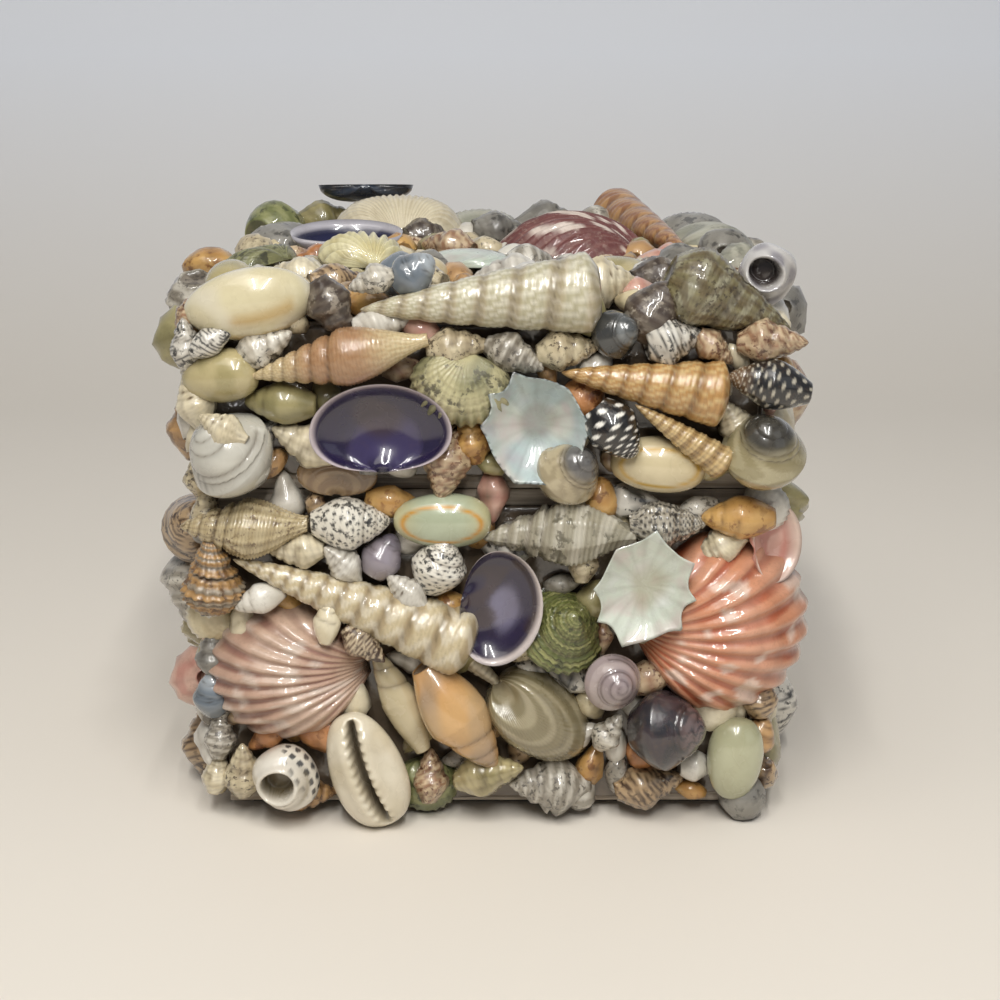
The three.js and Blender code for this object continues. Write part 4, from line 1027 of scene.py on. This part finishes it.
def smallShell(face, kind, across, up, turn, length, out, look, number, rows=36, columns=22):
    # its crown stands as high off the wood as the solid's, half a width above its middle; unless it sits
    # on another shell its foot is in the glue, thickened a little or lowered where it would stand clear
    shape, form = kinds[kind]
    form = dict(form)
    width = length * smallWidths.get(kind, usualWidth)
    if shape is fanShell:
        form["depth"] = length * fanForm["depthShare"]
        form["wall"] = fanForm["wall"] if form.get("wall") else 0
        form["ribDepth"] = form.get("ribDepth", 0) * length / fanForm["ribLength"]
        crown = footDepth + crownShares["fan"] * length
    else:
        crown = out + length * crownShares["round" if kind in roundKinds else "spire"]
    if shape is spiralShell:
        form["seed"] = number
    surface = paint(shape(length, width, rows, columns, **form), looks[look], number)
    leans = frontLeans if face == "front" else otherLeans
    lean = leans[number % len(leans)]
    placed = turned(surface["points"], turn, lean, (number * 67) % 360 if shape is spiralShell else 0)
    if out < seatedShare * length:
        thickness = np.ptp(placed[..., 2])
        stretch = min(max((crown - footDepth) / thickness, 1.0), mostStretch)
        crown = min(crown, footDepth + thickness * stretch)
        placed[..., 2] *= stretch
    surface["points"] = toBox(placed, face, across, up, crown - placed[..., 2].max())
    surface["points"][..., 2] = np.maximum(surface["points"][..., 2], footClear)
    return surface


pebbleSettings = dict(shortest=6.5, longest=12.0, gap=0.31, tries=6000, standOff=(2.0, 4.2),
                      kinds=["nassa", "nassa", "dove", "moon", "cowrie"])


def pebbles(face, low, high, taken, count, seed):
    # tiny shells thrown into the gaps, kept away from the bigger ones
    draw = np.random.default_rng(seed)
    gap, choices = pebbleSettings["gap"], pebbleSettings["kinds"]
    made = []
    tries = 0
    while len(made) < count and tries < pebbleSettings["tries"]:
        tries += 1
        across, up = draw.uniform(low[0], high[0]), draw.uniform(low[1], high[1])
        length = draw.uniform(pebbleSettings["shortest"], pebbleSettings["longest"])
        if any(math.hypot(across - a, up - b) < gap * (size + length) for a, b, size in taken):
            continue
        taken.append((across, up, length))
        kind = choices[draw.integers(len(choices))]
        look = sideLooks[draw.integers(len(sideLooks))]
        out = draw.uniform(*pebbleSettings["standOff"])
        made.append(smallShell(face, kind, across, up, draw.uniform(0, 360), length, out, look,
                               int(draw.integers(999)), rows=14, columns=9))
    return made


glueForm = dict(edge=0.6, lump=9, low=0.35, high=0.75, under=0.05)


def glueSheet(face, bottom, top, seed):
    # a pillow with squared ends on the wood, its top a soft random height; its glue finish is dark, painted
    # shade for the gaps between the shells
    across = 2 * half - glueForm["edge"]
    sheet = eggShell(across, top - bottom, 56, 40, height=0.02, bulge=0, power=0.12)
    points = sheet["points"]
    points[..., 0] = across / 2 * np.sin(math.pi / 2 * np.clip(points[..., 0] * 2 / across, -1, 1))
    lump = 0.7 + 0.5 * cloud(points, glueForm["lump"], seed)
    raised = glueForm["low"] + glueForm["high"] * lump
    points[..., 2] = np.where(points[..., 2] > 0, raised, glueForm["under"])
    paint(sheet, dict(base="#6b5a45", finish="glue"), seed)
    sheet["points"] = toBox(points, face, 0, (bottom + top) / 2, 0)
    return sheet


def makeField(node, face, rows, bottom, top, count, seed, edges=0.0):
    # the listed shells, tiny ones in the gaps between them and the single shells, and the glue sheet, dark
    # as painted shade
    shells = [smallShell(face, *row, number) for number, row in enumerate(rows)]
    taken = [(row[1], row[2], row[4]) for row in rows]
    axes, origin = faceAxes(face)
    right, over = axes[:2]
    table = {"front": {**lidFrontShells, **bodyFrontShells}, "top": topShells}.get(face, {})
    for name in table:
        low, high = (np.array(corner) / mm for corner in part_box(name))
        middle, size = (low + high) / 2 - origin, (high - low) @ np.abs(right + over)
        taken.append((middle @ right, middle @ over, size / 2))
    reach = half + edges
    shells += pebbles(face, (-reach, bottom + 2), (reach, top + edges), taken, count, seed)
    shells.append(glueSheet(face, bottom, top, seed))
    piece = buildPiece(node + "_glued", shells)
    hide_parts(node)
    print("field made:", node, len(shells), "shells")


sideSpan, backSpan = 2 * half - 4, 2 * half + 6
seam = seamHeight - 0.3
lidRange, bodyRange = (seam + bareMargin, lidTop - 0.3), (bareMargin, seam - bareMargin)
lidRows, bodyRows = (seam + bareMargin, lidTop + 5, 2, 5), (bareMargin, seam - bareMargin + 1, 4, 5)
makeField("lid_front_smalls", "front", lidFrontSmalls, *lidRange, 60, 1, 3)
makeField("body_front_smalls", "front", bodyFrontSmalls, *bodyRange, 90, 2, 3)
makeField("lid_top_smalls", "top", lidTopSmalls, 0.3 - half, half - 0.3, 130, 3)
makeField("lid_back_shells", "back", sideField(backSpan, *lidRows), *lidRange, 80, 4, 3)
makeField("body_back_shells", "back", sideField(backSpan, *bodyRows), *bodyRange, 150, 5, 3)
makeField("lid_left_shells", "left", sideField(sideSpan, *lidRows), *lidRange, 80, 6)
makeField("body_left_shells", "left", sideField(sideSpan, *bodyRows), *bodyRange, 150, 7)
makeField("lid_right_shells", "right", sideField(sideSpan, *lidRows), *lidRange, 80, 8)
makeField("body_right_shells", "right", sideField(sideSpan, *bodyRows), *bodyRange, 150, 9)


# floor, light and camera

sweep = dict(front=-2.5, bend=0.3, radius=0.35, top=2.2, side=3.0, columns=9, floorTone="#e2dbd0",
             wallTone="#eceff5", climb=0.12, roughness=0.65)


def makeFloor():
    # a floor that turns up into a wall: flat, then a quarter circle, then straight up
    material, tree, shader = newMaterial("paleSweep")
    place = addNode(tree, "ShaderNodeTexCoord")
    split = addNode(tree, "ShaderNodeSeparateXYZ")
    tree.links.new(place.outputs["Object"], split.inputs["Vector"])
    climb = mapRange(tree, split.outputs["Z"], 0.0, sweep["climb"])
    tree.links.new(mixColour(tree, climb, opaque(sweep["floorTone"]), opaque(sweep["wallTone"])),
                   shader.inputs["Base Color"])
    shader.inputs["Roughness"].default_value = sweep["roughness"]
    bend, radius = sweep["bend"], sweep["radius"]
    angle = np.linspace(0, math.pi / 2, 24)
    y = np.concatenate([[sweep["front"]], bend + radius * np.sin(angle), [bend + radius]])
    z = np.concatenate([[0.0], radius * (1 - np.cos(angle)), [sweep["top"]]])
    x = np.linspace(-sweep["side"], sweep["side"], sweep["columns"])
    points = np.stack([np.repeat(x[None, :], len(y), 0), np.repeat(y[:, None], len(x), 1),
                       np.repeat(z[:, None], len(x), 1)], -1).reshape(-1, 3)
    ring = np.arange(len(points)).reshape(len(y), len(x))
    faces = np.stack([ring[:-1, :-1], ring[:-1, 1:], ring[1:, 1:], ring[1:, :-1]], -1).reshape(-1, 4)
    mesh = bpy.data.meshes.new("floor")
    mesh.from_pydata(points.tolist(), [], faces.tolist())
    mesh.polygons.foreach_set("use_smooth", np.ones(len(faces), bool))
    mesh.materials.append(material)
    floor = bpy.data.objects.new("floor", mesh)
    bpy.context.collection.objects.link(floor)


def areaLight(name, place, aim, width, height, power, colour, roll=0):
    lamp = bpy.data.lights.new(name, "AREA")
    lamp.shape = "RECTANGLE"
    lamp.size, lamp.size_y = width, height
    lamp.energy = power
    lamp.color = colour
    holder = bpy.data.objects.new(name, lamp)
    holder.location = place
    way = (Vector(aim) - Vector(place)).to_track_quat("-Z", "Y") @ Quaternion((0, 0, 1), math.radians(roll))
    holder.rotation_euler = way.to_euler()
    bpy.context.collection.objects.link(holder)


tube = dict(width=0.02, height=0.5, power=2.6, colour=(1.0, 0.99, 0.96))
studio = {
    "softbox": dict(place=(-0.35, -0.45, 1.1), width=0.7, height=0.7, power=2.4, colour=(1.0, 0.95, 0.88)),
    "windowFill": dict(place=(0.9, -0.7, 0.5), width=0.8, height=0.8, power=0.8, colour=(0.9, 0.95, 1.0)),
    "tubeLeft": dict(place=(-0.1, -0.5, 0.62), roll=18, **tube),
    "tubeRight": dict(place=(0.1, -0.5, 0.62), roll=-18, **tube),
}
room = dict(colour=(0.62, 0.63, 0.66, 1), strength=0.28, lampAim=(0, 0, 0.05))
cameraSettings = dict(lens=68.8, sensor=36, nearest=0.01, place=(0.0025, -0.401, 0.1616), downward=15.6)


def makeStudio():
    for name, lamp in studio.items():
        areaLight(name, aim=room["lampAim"], **lamp)
    world = bpy.data.worlds.new("paleRoom")
    world.use_nodes = True
    background = world.node_tree.nodes["Background"]
    background.inputs["Color"].default_value = room["colour"]
    background.inputs["Strength"].default_value = room["strength"]
    bpy.context.scene.world = world
    bpy.context.scene.view_settings.view_transform = "Standard"


def makeCamera():
    camera = bpy.data.cameras.new("camera")
    camera.lens = cameraSettings["lens"]
    camera.sensor_width = cameraSettings["sensor"]
    camera.clip_start = cameraSettings["nearest"]
    holder = bpy.data.objects.new("camera", camera)
    holder.location = cameraSettings["place"]
    holder.rotation_euler = (math.radians(90 - cameraSettings["downward"]), 0, 0)
    bpy.context.collection.objects.link(holder)
    bpy.context.scene.camera = holder


makeFloor()
makeStudio()
makeCamera()
print("floor, lights and camera made")
